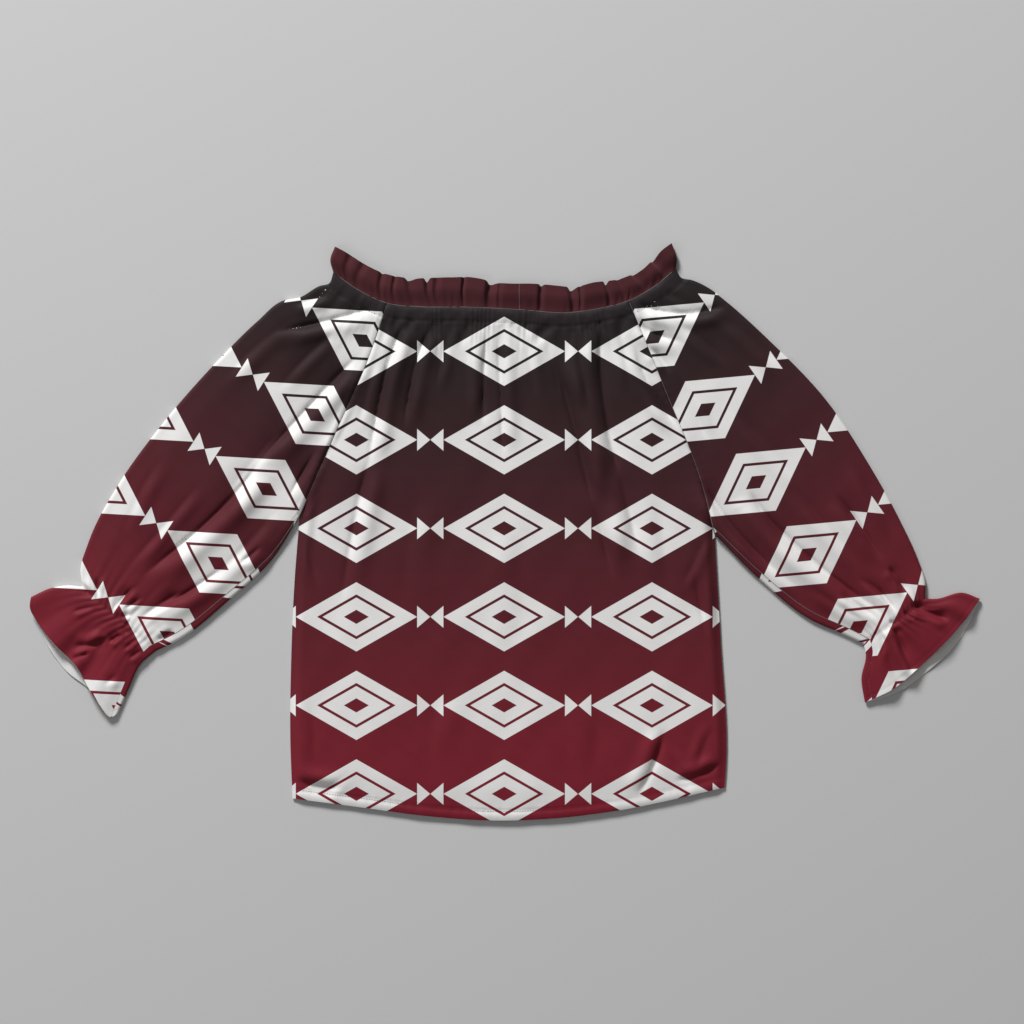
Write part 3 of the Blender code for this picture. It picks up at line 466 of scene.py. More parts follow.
def bent_line(row, columns):
    """Eleven points through a crease's three, and its named values."""
    fold = dict(zip(columns, row))
    steps = np.linspace(0.0, 1.0, 11)[:, None]
    first, mid, last = scaled([(fold["x0"], fold["y0"]), (fold["x1"], fold["y1"]),
                               (fold["x2"], fold["y2"])])
    pull = 2.0 * mid - 0.5 * (first + last)
    return (1 - steps)**2 * first + 2 * steps * (1 - steps) * pull + steps**2 * last, fold


def near(points, line, reach):
    """Which points lie within reach of the box round a line."""
    low, high = line.min(axis=0) - reach, line.max(axis=0) + reach
    return np.all((points > low) & (points < high), axis=1)


def ripple(points):
    """Small uneven swell of cloth that lies loose."""
    x, y = points[:, 0], points[:, 1]
    swell = 0.20 * np.sin(x / 17.0 + 1.3 * np.sin(y / 41.0)) * np.sin(y / 23.0 + 0.7)
    swell += 0.16 * np.sin(x / 9.1 - y / 13.3 + 1.1 * np.sin(x / 37.0))
    swell += 0.09 * np.sin(x / 4.7 + y / 6.9 + 1.7 * np.sin(y / 19.0))
    return swell + 0.30 * np.sin(x / 61.0 + 0.8) * np.sin(y / 53.0 + 2.1)


def creased_height(points):
    """Height of the upper layer's top at plan points."""
    flat = points.reshape(-1, 2)
    height = BASE_HEIGHT + ripple(flat)
    for number, row in enumerate(CREASES + FINE_CREASES):
        line, fold = bent_line(row, CREASE_COLUMNS)
        width = fold["width"]
        sharp = CORE_SHARE if number < len(CREASES) and width > 6.5 else 0.0
        here = near(flat, line, 5 * width)
        signed, way = along_line(flat[here], line)
        beside = signed * fold["side"]
        shape = fold["ridge"] * np.exp(-((beside - RIDGE_AWAY * width) / width)**2)
        shape -= fold["trough"] * np.exp(-(signed / (TROUGH_HALF * width))**2)
        core = max(CORE_HALF * width, CORE_LEAST)
        shape -= sharp * fold["trough"] * np.exp(-(signed / core)**2)
        slope = np.exp(-((beside + SLOPE_AWAY * width) / (SLOPE_HALF * width))**2)
        shape -= SLOPE_SHARE * fold["trough"] * slope
        shape *= RELIEF * (1.0 + UNEVEN * np.sin(way * 11.0 + row[0]))
        height[here] += shape * ends_fade(way, fold["fade"])
    for number in range(PUCKERS):
        start, end, depth, width = neck_pucker(number)
        line = np.array([start, end])
        here = near(flat, line, 5 * width)
        signed, way = along_line(flat[here], line)
        shape = 0.35 * np.exp(-((np.abs(signed) - 2 * width) / width)**2) * (1.0 - smooth(way))
        shape -= np.exp(-(signed / width)**2) * smooth(way / 0.15) * (1.0 - smooth(way))
        height[here] += depth * shape
    height += seam_detail(flat)
    return height.reshape(points.shape[:-1])


def seam_detail(points):
    """Gathers at the neck, the casing's stitch groove, and cloth that dips to its seams."""
    extra = np.zeros(len(points))
    line = neck(np.linspace(0.0, 1.0, NECK_STEPS + 1))
    here = points[:, 1] > NECK_REACH_Y
    signed, share = along_line(points[here], line)
    deep = np.abs(signed)
    vary = 0.55 + 0.45 * np.sin(share * 91.0 + 2.0 * np.sin(share * 37.0))
    wave = np.cos(2 * np.pi * (FINE_GATHERS * share + 0.9 * np.sin(share * 43.0)))
    run = 14.0 + 16.0 * (0.5 + 0.5 * np.sin(share * 143.0))
    below = np.exp(-np.maximum(deep - CASING, 0.0) / run) * smooth((deep - CASING + 3.0) / 5.0)
    within = smooth(deep / 3.0) * (1.0 - smooth((deep - CASING + 3.0) / 5.0))
    add = wave * vary * (0.85 * below + 0.34 * within)
    add -= 0.75 * np.exp(-((deep - CASING) / 1.7)**2)
    add -= 1.5 * np.exp(-deep / 1.6)
    extra[here] += add
    for raglan in (raglan_left, raglan_right):
        line = raglan(np.linspace(0.0, 1.0, SEAM_STEPS + 1))
        here = near(points, line, 24.0)
        signed, share = along_line(points[here], line)
        away = np.abs(signed)
        pull = np.cos(2 * np.pi * (19 * share + 0.6 * np.sin(share * 17.0)))
        extra[here] += 0.20 * pull * np.exp(-away / 7.0) - 1.2 * np.exp(-away / 1.5)
        extra[here] += 0.35 * np.exp(-((away - 4.0) / 2.2)**2)
    return extra


def under_lift(points):
    """How far the under layer lies off the surface at plan points."""
    flat = points.reshape(-1, 2)
    lift = np.zeros(len(flat))
    for row in UNDER_CREASES:
        line, fold = bent_line(row, UNDER_COLUMNS)
        signed, way = along_line(flat, line)
        lift += fold["lift"] * np.exp(-(signed / fold["width"])**2) * ends_fade(way, fold["fade"])
    return np.clip(lift, 0.0, UNDER_MOST).reshape(points.shape[:-1])


# Meshes. Edges sharper than these angles, in degrees, aren't shaded smooth.
CLOTH_SHARP = 62.0
RIBBON_SHARP = 50.0


def wall_object(name, outer, inner, prints, materials):
    """A closed thin wall between two grids. The outside takes the first material, the
    inside the second and the cut edges the third. prints holds the cloth's own
    coordinates, across and down from the neck, in millimetres."""
    rows, columns = outer.shape[:2]
    grid = np.arange(rows * columns).reshape(rows, columns)
    shift = rows * columns
    top = np.stack([grid[:-1, :-1], grid[:-1, 1:], grid[1:, 1:], grid[1:, :-1]], axis=-1)
    top = top.reshape(-1, 4)
    bottom = top[:, ::-1] + shift
    rim = np.concatenate([grid[0, :-1], grid[:-1, -1], grid[-1, :0:-1], grid[:0:-1, 0]])
    after = np.roll(rim, -1)
    walls = np.stack([after, rim, rim + shift, after + shift], axis=-1)
    faces = np.concatenate([top, bottom, walls])
    points = np.concatenate([outer.reshape(-1, 3), inner.reshape(-1, 3)]) * MM
    a, b, c, d = (points[faces[:, number]] for number in range(4))
    volume = np.einsum("ij,ij->i", a, np.cross(b, c) + np.cross(c, d)).sum()
    if volume < 0:
        faces = faces[:, ::-1]
    mesh = bpy.data.meshes.new(name)
    mesh.from_pydata(points.tolist(), [], faces.tolist())
    for material in materials:
        mesh.materials.append(material)
    slots = np.repeat([0, 1, 2], [len(top), len(bottom), len(walls)])
    mesh.polygons.foreach_set("material_index", slots.astype(np.int32))
    layer = mesh.uv_layers.new(name="print")
    corners = np.empty(len(mesh.loops), np.int32)
    mesh.loops.foreach_get("vertex_index", corners)
    layer.data.foreach_set("uv", (prints.reshape(-1, 2)[corners % shift] * MM).ravel())
    mesh.update()
    mesh.shade_smooth()
    mesh.set_sharp_from_angle(angle=math.radians(CLOTH_SHARP))
    return link(bpy.data.objects.new(name, mesh))


def link(piece):
    bpy.context.scene.collection.objects.link(piece)
    return piece


def bar_faces(first, count):
    """Faces of a closed bar of count rings of four points, of which the first is given."""
    faces = []
    for step in range(count - 1):
        low = first + 4 * step
        faces += [(low + corner, low + (corner + 1) % 4, low + 4 + (corner + 1) % 4, low + 4 + corner)
                  for corner in range(4)]
    last = first + 4 * (count - 1)
    return faces + [(first + 3, first + 2, first + 1, first), (last, last + 1, last + 2, last + 3)]


def bar_object(name, points, faces, material):
    mesh = bpy.data.meshes.new(name)
    mesh.from_pydata((np.array(points) * MM).tolist(), [], faces)
    mesh.materials.append(material)
    mesh.update()
    mesh.shade_smooth()
    return link(bpy.data.objects.new(name, mesh))


def ribbon(name, path, width, lift, drop, material):
    """A narrow flat strip along a path of 3-D points, like the sewn edge in a seam."""
    ahead = np.gradient(path, axis=0)
    flat = ahead[:, :2] / np.maximum(np.linalg.norm(ahead[:, :2], axis=1), 1e-6)[:, None]
    side = np.stack([flat[:, 1], -flat[:, 0], np.zeros(len(path))], axis=1) * (0.5 * width)
    up = np.array([0.0, 0.0, 1.0])
    rings = np.stack([path + side - drop * up, path + 0.6 * side + lift * up,
                      path - 0.6 * side + lift * up, path - side - drop * up], axis=1)
    piece = bar_object(name, rings.reshape(-1, 3), bar_faces(0, len(path)), material)
    piece.data.set_sharp_from_angle(angle=math.radians(RIBBON_SHARP))
    return piece


def spaced(path, step):
    """Points along a path at even steps, and the directions there."""
    lengths = np.linalg.norm(np.diff(path, axis=0), axis=1)
    run = np.concatenate([[0.0], np.cumsum(lengths)])
    places = np.arange(0.5 * step, run[-1], step)

    def at(distance):
        return np.stack([np.interp(distance, run, path[:, axis]) for axis in range(3)], axis=1)

    course = at(places + 0.5) - at(places - 0.5)
    return at(places), course / np.maximum(np.linalg.norm(course, axis=1), 1e-9)[:, None]


STITCH_STEP = 3.1
STITCH_LENGTH = 2.3
STITCH_WIDTH = 0.5
STITCH_RISE = 0.22


def stitches(name, path, material):
    """A row of short thread stitches that lie in the cloth along a path."""
    places, course = spaced(path, STITCH_STEP)
    up = np.array([0.0, 0.0, 1.0])
    side = np.cross(course, up)
    side /= np.linalg.norm(side, axis=1)[:, None]
    shares = np.array([-0.5, -0.3, 0.3, 0.5])
    fat = np.array([0.25, 1.0, 1.0, 0.25])
    points, faces = [], []
    for place, along, across in zip(places, course, side):
        first = len(points)
        for share, size in zip(shares, fat):
            middle = place + along * share * STITCH_LENGTH
            rise = STITCH_RISE * size
            points += [middle + across * 0.5 * STITCH_WIDTH * size, middle + up * rise,
                       middle - across * 0.5 * STITCH_WIDTH * size, middle - up * rise]
        faces += bar_faces(first, len(shares))
    return bar_object(name, points, faces, material)


# Materials

class Wiring:
    """Short calls for a material's nodes."""

    def __init__(self, name):
        self.material = bpy.data.materials.new(name)
        self.material.use_nodes = True
        self.tree = self.material.node_tree
        self.shader = self.tree.nodes["Principled BSDF"]

    def node(self, kind, **values):
        node = self.tree.nodes.new(kind)
        for key, value in values.items():
            setattr(node, key, value)
        return node

    def join(self, source, target):
        if isinstance(source, (int, float)):
            target.default_value = source
        elif isinstance(source, tuple):
            target.default_value = source
        else:
            self.tree.links.new(source, target)

    def math(self, operation, a, b=0.0, clamp=False):
        node = self.node("ShaderNodeMath", operation=operation, use_clamp=clamp)
        self.join(a, node.inputs[0])
        self.join(b, node.inputs[1])
        return node.outputs[0]

    def mix(self, share, a, b, blend="MIX"):
        node = self.node("ShaderNodeMix", data_type="RGBA", blend_type=blend)
        self.join(share, node.inputs["Factor"])
        self.join(a, node.inputs["A"])
        self.join(b, node.inputs["B"])
        return node.outputs["Result"]

    def noise(self, vector, scale, detail=2.0):
        node = self.node("ShaderNodeTexNoise")
        self.tree.links.new(vector, node.inputs["Vector"])
        node.inputs["Scale"].default_value = scale
        node.inputs["Detail"].default_value = detail
        return node.outputs["Fac"]

    def ramp(self, value, stops):
        node = self.node("ShaderNodeValToRGB")
        self.tree.links.new(value, node.inputs["Fac"])
        elements = node.color_ramp.elements
        while len(elements) < len(stops):
            elements.new(0.5)
        for element, (place, colour) in zip(elements, stops):
            element.position = place
            element.color = colour
        return node.outputs["Color"]

    def print_places(self):
        """The cloth's own coordinates across and down, in metres."""
        uv = self.node("ShaderNodeUVMap", uv_map="print")
        split = self.node("ShaderNodeSeparateXYZ")
        self.tree.links.new(uv.outputs["UV"], split.inputs[0])
        return uv.outputs["UV"], split.outputs["X"], split.outputs["Y"]

    def body_places(self):
        return self.node("ShaderNodeTexCoord").outputs["Object"]

    def bump(self, height, strength, distance, normal=None):
        node = self.node("ShaderNodeBump")
        node.inputs["Strength"].default_value = strength
        node.inputs["Distance"].default_value = distance
        self.tree.links.new(height, node.inputs["Height"])
        if normal is not None:
            self.tree.links.new(normal, node.inputs["Normal"])
        return node.outputs["Normal"]


def linear(red, green, blue):
    """A colour given as 0 to 255 display values, as linear light."""
    parts = []
    for part in (red, green, blue):
        share = part / 255.0
        light = share / 12.92 if share <= 0.04045 else ((share + 0.055) / 1.055)**2.4
        parts.append(min(light, 0.95))
    return (*parts, 1.0)


# The cloth's ground, from the neck down: millimetres, and red, green and blue as displayed
DYE_STOPS = [
    (0, 39, 35, 37),
    (45, 41, 34, 34),
    (108, 50, 33, 35),
    (155, 58, 34, 36),
    (225, 70, 33, 39),
    (271, 79, 34, 39),
    (353, 94, 32, 42),
    (400, 103, 33, 43),
    (458, 113, 33, 44),
    (504, 120, 33, 45),
    (590, 127, 33, 48),
]
DYE_LENGTH = 600.0
DYE_SHADE = (30, 22, 26)
WHITE = (232, 231, 229)
WHITE_SHADE = (212, 210, 210)
INSIDE = (226, 224, 222)
RUFFLE_DYE = (80, 38, 43)
THREAD_GREY = (118, 112, 112)
THREAD_DARK = (52, 34, 38)

# Generic printed motifs, metres: rows of lozenges with small paired triangles between
MOTIF_ACROSS = 0.172
MOTIF_DOWN = 0.103
LOZENGE_WIDE = 0.071
LOZENGE_TALL = 0.0405
LINE_PLACE = 0.60
LINE_HALF = 0.040
CORE_SIZE = 0.20
BOW_WIDE = 0.0155
BOW_SLOPE = 0.85
THREAD_PITCH = 0.0009
EDGE_SOFT = 0.0004
MOTIF_START = 0.052


def motif_mask(w, across, down):
    """1 inside the white of the print."""
    x = w.math("WRAP", w.math("DIVIDE", across, MOTIF_ACROSS), 0.5)
    x.node.inputs[2].default_value = -0.5
    x = w.math("ABSOLUTE", w.math("MULTIPLY", x, MOTIF_ACROSS))
    y = w.math("DIVIDE", w.math("SUBTRACT", down, MOTIF_START), MOTIF_DOWN)
    y = w.math("WRAP", y, 0.5)
    y.node.inputs[2].default_value = -0.5
    y = w.math("ABSOLUTE", w.math("MULTIPLY", y, MOTIF_DOWN))
    reach = w.math("ADD", w.math("DIVIDE", x, LOZENGE_WIDE), w.math("DIVIDE", y, LOZENGE_TALL))
    soft = EDGE_SOFT / LOZENGE_TALL
    lozenge = w.math("DIVIDE", w.math("SUBTRACT", 1.0, reach), soft, clamp=True)
    from_line = w.math("ABSOLUTE", w.math("SUBTRACT", reach, LINE_PLACE))
    off_line = w.math("DIVIDE", w.math("SUBTRACT", from_line, LINE_HALF), soft, clamp=True)
    off_core = w.math("DIVIDE", w.math("SUBTRACT", reach, CORE_SIZE), soft, clamp=True)
    lozenge = w.math("MULTIPLY", w.math("MULTIPLY", lozenge, off_line), off_core)
    away = w.math("SUBTRACT", 0.5 * MOTIF_ACROSS, x)
    inside = w.math("DIVIDE", w.math("SUBTRACT", BOW_WIDE, away), EDGE_SOFT, clamp=True)
    height = w.math("SUBTRACT", w.math("MULTIPLY", away, BOW_SLOPE), y)
    bow = w.math("MULTIPLY", inside, w.math("DIVIDE", height, EDGE_SOFT, clamp=True))
    return w.math("MAXIMUM", lozenge, bow)


def weave_normal(w, uv, places):
    """Fine crepe grain over a plain weave of fine threads."""
    split = w.node("ShaderNodeSeparateXYZ")
    w.tree.links.new(uv, split.inputs[0])
    waves = [w.math("SINE", w.math("MULTIPLY", split.outputs[axis], 2 * math.pi / THREAD_PITCH))
             for axis in "XY"]
    threads = w.math("MULTIPLY", *waves)
    grain = w.noise(places, 620.0, 3.0)
    soft = w.noise(places, 95.0, 2.0)
    first = w.bump(threads, 0.05, 0.0002)
    second = w.bump(grain, 0.16, 0.0005, first)
    return w.bump(soft, 0.10, 0.0012, second)


def finish_cloth(w, colour, normal, roughness, sheen):
    w.tree.links.new(colour, w.shader.inputs["Base Color"])
    w.tree.links.new(normal, w.shader.inputs["Normal"])
    w.shader.inputs["Roughness"].default_value = roughness
    w.shader.inputs["Specular IOR Level"].default_value = 0.12
    w.shader.inputs["Sheen Weight"].default_value = sheen
    w.shader.inputs["Sheen Roughness"].default_value = 0.45
    return w.material


def printed_cloth():
    w = Wiring("printed crepe")
    uv, across, down = w.print_places()
    places = w.body_places()
    depth = w.math("DIVIDE", down, DYE_LENGTH * MM, clamp=True)
    stops = [(depth_mm / DYE_LENGTH, linear(*colour))
             for depth_mm, *colour in DYE_STOPS]
    ground = w.ramp(depth, stops)
    mottle = w.noise(places, 38.0, 4.0)
    ground = w.mix(w.math("MULTIPLY", mottle, 0.16), ground, linear(*DYE_SHADE))
    white = w.mix(w.math("MULTIPLY", w.noise(places, 26.0, 3.0), 0.14),
                  linear(*WHITE), linear(*WHITE_SHADE))
    colour = w.mix(motif_mask(w, across, down), ground, white)
    return finish_cloth(w, colour, weave_normal(w, uv, places), 0.62, 0.03)


def plain_cloth(name, rgb, rough, sheen, darker=0.80):
    w = Wiring(name)
    uv, _across, _down = w.print_places()
    places = w.body_places()
    base = linear(*rgb)
    dark = tuple(part * darker for part in base[:3]) + (1.0,)
    colour = w.mix(w.noise(places, 45.0, 4.0), dark, base)
    return finish_cloth(w, colour, weave_normal(w, uv, places), rough, sheen)


def thread(name, rgb):
    w = Wiring(name)
    places = w.body_places()
    base = linear(*rgb)
    dark = tuple(part * 0.7 for part in base[:3]) + (1.0,)
    colour = w.mix(w.noise(places, 900.0, 2.0), dark, base)
    normal = w.bump(w.noise(places, 1500.0, 2.0), 0.2, 0.0002)
    return finish_cloth(w, colour, normal, 0.7, 0.1)


# Front and back

RAGLAN_SHARE = 0.43
body_plan = patch(
    stretch(neck, share_left, share_right),
    curve(HEM),
    joined(raglan_left, curve(SIDE_LEFT), RAGLAN_SHARE),
    joined(raglan_right, curve(SIDE_RIGHT), RAGLAN_SHARE),
)
NECK_LEVEL = 262.0     # where the print starts, as y on the body


def body_grid(thin):
    above = RAGLAN_SHARE * np.linspace(0.0, 1.0, RAGLAN_ROWS // thin + 1) ** 1.15
    below = RAGLAN_SHARE + (1 - RAGLAN_SHARE) * np.linspace(0.0, 1.0, SIDE_ROWS // thin + 1)
    rows = np.concatenate([above, below[1:]])
    columns = np.linspace(0.0, 1.0, BODY_COLUMNS // thin + 1)
    u, v = np.meshgrid(rows, columns, indexing="ij")
    plan = body_plan(u, v)
    plan[0] = shifted_row(plan[0], SEAM_GAP, 1)
    return u, v, plan


def side_distance(u, v, plan):
    width = np.linalg.norm(plan[:, -1] - plan[:, 0], axis=1)[:, None]
    return np.minimum(v, 1.0 - v) * width, smooth((u - RAGLAN_SHARE + 0.05) / 0.05)


def hem_detail(plan):
    """The turned hem: a soft double band, its stitch groove and small pulls along it."""
    line = curve(HEM)(np.linspace(0.0, 1.0, 121))
    flat = plan.reshape(-1, 2)
    here = flat[:, 1] < HEM_REACH_Y
    away = np.full(len(flat), 99.0)
    share = np.zeros(len(flat))
    signed, way = along_line(flat[here], line)
    away[here] = np.abs(signed)
    share[here] = way
    pull = np.cos(2 * np.pi * (41 * share + 0.8 * np.sin(share * 29.0)))
    band = 0.45 * smooth((HEM_DEPTH + 0.5 - away) / 1.5)
    groove = -0.85 * np.exp(-((away - HEM_DEPTH) / 1.3)**2)
    ripples = 0.22 * pull * np.exp(-((away - HEM_DEPTH) / 6.0)**2)
    edge = -0.9 * np.exp(-away / 1.0)
    drop = HEM_DROP * (1.0 - smooth(away / HEM_SLOPE))
    return (band + groove + ripples + edge - drop).reshape(plan.shape[:-1])


def front_height(u, v, plan):
    distance, share = side_distance(u, v, plan)
    edge = SIDE_LIFT + 2 * WALL + SEAM_GAP + 0.1
    close = (1.0 - smooth(distance / SIDE_SLOPE)) * share
    height = np.clip(creased_height(plan) + hem_detail(plan), LEAST_HEIGHT, MOST_HEIGHT)
    return height + (edge - height) * close


def make_front(materials):
    u, v, plan = body_grid(1)
    height = front_height(u, v, plan)
    outer = placed(plan, height)
    inner = placed(plan, height - WALL * slant(height, plan))
    prints = np.stack([plan[..., 0], NECK_LEVEL - plan[..., 1]], axis=-1)
    return wall_object("front_cloth", outer, inner, prints, materials)


def make_back(materials):
    u, v, plan = body_grid(BACK_THIN)
    distance, share = side_distance(u, v, plan)
    curl = SIDE_LIFT * (1.0 - smooth(distance / SIDE_CURL)) * share
    lift = np.maximum(curl, under_lift(plan) * smooth(distance / 20.0))
    outer = placed(plan, lift)
    inner = placed(plan, lift + WALL)
    prints = np.stack([-plan[..., 0], NECK_LEVEL - plan[..., 1]], axis=-1)
    return wall_object("back_cloth", outer, inner, prints, materials)


# Sleeves and ruffle

def spread(stops, counts):
    runs = [np.linspace(start, end, count + 1)[:-1]
            for start, end, count in zip(stops, stops[1:], counts)]
    return np.concatenate(runs + [stops[-1:]])


def tube_nodes(length, seam, corner, columns, under_columns):
    """Places round one ring, from the seam over the far fold, back underneath and over the
    near fold: layer 1 is the top and 0 the underside. Angle is -1 away from the folds."""
    fold = FOLD_RADIUS / length
    gap = 0.5 * SEAM_GAP / length
    if corner > seam:
        start = spread([seam + gap, corner, 1 - fold], columns)
        end = spread([fold, seam - gap], [4])
    else:
        start = spread([seam + gap, 1 - fold], columns[1:])
        end = spread([fold, seam - gap], columns[:1])
    rim = [(int(angle <= 180), fold * (1 + math.cos(math.radians(angle))), angle)
           for angle in FOLD_ANGLES]
    under = spread([1 - fold, corner, fold], under_columns[::-1])
    nodes = [(1, share, -1.0) for share in start[:-1]]
    nodes += [(layer, 1 - away, angle) for layer, away, angle in rim]
    nodes += [(0, share, -1.0) for share in under[1:-1]]
    nodes += rim[::-1]
    nodes += [(1, share, -1.0) for share in end[1:]]
    return np.array(nodes)


def shift_into(plan_top, u, v, points):
    """Points of a tube's first row moved in by the seam gap, away from its neighbour."""
    row = np.unique(np.round(v, 9))
    line = plan_top(np.full(len(row), u), row)
    inside = plan_top(np.full(len(row), u + 0.02), row) - line
    ahead = np.gradient(line, axis=0)
    side = np.sign(np.median(inside[:, 0] * ahead[:, 1] - inside[:, 1] * ahead[:, 0]))
    moved = shifted_row(line, SEAM_GAP, side)
    index = np.searchsorted(row, np.round(v, 9))
    return points + (moved - line)[np.clip(index, 0, len(row) - 1)]


def tube_piece(name, shares, seam_at, corner, columns, plan_top, plan_under, top_at, floor_at,
               print_at, first_gap, materials):
    """A sheet that goes once round a flattened tube, from seam to seam, and its outer grid."""
    outer_rows, inner_rows, print_rows = [], [], []
    dense = np.linspace(0.0, 1.0, 41)
    for number, u in enumerate(shares):
        length = line_length(plan_top(np.full(41, u), dense))
        nodes = tube_nodes(length, seam_at(length), corner, *columns)
        layer, v, angle = nodes[:, 0], nodes[:, 1], np.radians(nodes[:, 2])
        top = plan_top(np.full(len(v), u), v)
        under = plan_under(np.full(len(v), u), v)
        if number == 0 and first_gap:
            top = shift_into(plan_top, u, v, top)
            under = top
        plan = np.where(layer[:, None] > 0.5, top, under)
        high = top_at(u, v, top, length)
        low = floor_at(u, v, under, length)
        fold = FOLD_RADIUS / length
        nearest = np.minimum(v, 1 - v) * length
        if first_gap:
            high = high - EDGE_DROP * (1 - smooth(nearest / EDGE_SLOPE))
        wanted = np.maximum(high, FOLD_HEIGHT)
        high = high + (wanted - high) * (1 - smooth((nearest - FOLD_RADIUS) / (2 * FOLD_RADIUS)))
        folded = nodes[:, 2] > 0
        ends = np.array([fold, 1 - fold])
        rim_high = top_at(u, ends, plan_top(np.full(2, u), ends), length)
        if first_gap:
            rim_high = rim_high - EDGE_DROP * (1 - smooth(fold * length / EDGE_SLOPE))
        rim_high = np.maximum(rim_high, FOLD_HEIGHT)
        rim_low = floor_at(u, ends, plan_under(np.full(2, u), ends), length)
        middle, half = 0.5 * (rim_high + rim_low), 0.5 * (rim_high - rim_low)
        near_fold = v < 0.5
        middle = np.where(near_fold, middle[0], middle[1])
        half = np.where(near_fold, half[0], half[1])
        z = np.where(layer > 0.5, high, low)
        z = np.where(folded, middle + half * np.sin(angle), z)
        outer = placed(plan, z)
        toward = np.where(v < 0.5, 1.0, -1.0)[:, None]
        ahead = plan_top(np.full(len(v), u), np.clip(v + 0.5 * fold, 0, 1))
        ahead = ahead - plan_top(np.full(len(v), u), np.clip(v - 0.5 * fold, 0, 1))
        inward = toward * ahead / np.linalg.norm(ahead, axis=1)[:, None]
        across = -np.cos(angle) / FOLD_RADIUS
        upward = -np.sin(angle) / half
        size = np.hypot(across, upward)
        lean = np.concatenate([inward * (across / size)[:, None], (upward / size)[:, None]], axis=1)
        run = np.linalg.norm(np.gradient(plan, axis=0), axis=1)
        steep = np.sqrt(1.0 + np.clip((np.gradient(z) / np.maximum(run, 0.3))**2, 0.0, 0.8))
        straight = np.zeros_like(outer)
        straight[:, 2] = np.where(layer > 0.5, -steep, steep)
        outer_rows.append(outer)
        inner_rows.append(outer + WALL * np.where(folded[:, None], lean, straight))
        far_tip = plan_top(np.array([u]), np.array([1.0]))[0]
        near_tip = plan_top(np.array([u]), np.array([0.0]))[0]
        turned = np.where((layer > 0.5)[:, None], plan, 2 * far_tip - plan)
        past_fold = (layer > 0.5) & (np.arange(len(v)) > np.argmin(layer))
        turned = np.where(past_fold[:, None], 2 * far_tip - 2 * near_tip + plan, turned)
        print_rows.append(print_at(turned, plan, u))
    grid = np.array(outer_rows)
    piece = wall_object(name, grid, np.array(inner_rows), np.array(print_rows), materials)
    return piece, grid


WRIST_SHARE = 0.80


def sleeve_plans(outline, raglan, neck_from, neck_to):
    """Plan functions of a sleeve's upper and under layers, and its raglan corner."""
    end = curve(outline["wrist"])
    run_raglan = line_length(raglan(np.linspace(0, 1, 41)))
    run_neck = line_length(stretch(neck, neck_from, neck_to)(np.linspace(0, 1, 41)))
    corner = run_raglan / (run_raglan + run_neck)
    start = joined(stretch(raglan, 1.0, 0.0), stretch(neck, neck_from, neck_to), corner)
    arm = patch(start, end, curve(outline["lower"]), curve(outline["outer"]))
    flounces = [patch(end, curve(outline[edge]), curve(outline["lower_flounce"]),
                      curve(outline["outer_flounce"])) for edge in ("cuff_front", "cuff_back")]

    def layer(flounce):
        def at(u, v):
            u = np.asarray(u, float)
            on_arm = arm(np.clip(u / WRIST_SHARE, 0, 1), v)
            beyond = flounce(np.clip((u - WRIST_SHARE) / (1 - WRIST_SHARE), 0, 1), v)
            return np.where((u <= WRIST_SHARE)[..., None], on_arm, beyond)

        return at

    return layer(flounces[0]), layer(flounces[1]), corner


# Gathers that run out from each wrist, as v across the sleeve, depth, and length up the
# sleeve and down the flounce as shares of the sleeve
WRIST_COLUMNS = ("v", "depth", "up", "down")
WRIST_GATHERS = [
    (0.07, 1.6, 0.030, 0.08), (0.14, 2.4, 0.070, 0.14), (0.20, 1.5, 0.040, 0.06),
    (0.27, 2.2, 0.095, 0.18), (0.33, 1.7, 0.050, 0.07), (0.40, 2.5, 0.120, 0.12),
    (0.46, 1.6, 0.045, 0.20), (0.53, 2.3, 0.080, 0.09), (0.59, 1.6, 0.060, 0.13),
    (0.66, 2.4, 0.110, 0.17), (0.72, 1.5, 0.040, 0.06), (0.79, 2.2, 0.075, 0.15),
    (0.86, 1.7, 0.050, 0.10), (0.93, 1.5, 0.030, 0.07),
]
FLOUNCE_WAVES = 4
FLOUNCE_WAVE = 2.1
ELASTIC_HALF = 0.010   # half the elastic's width, as a share of the sleeve
WRIST_GATHER_WIDTH = 0.017


def gather_wave(v, count, phase):
    return np.cos(2 * np.pi * (count * v + 0.16 * np.sin(2 * np.pi * 1.7 * v + phase)) + phase)


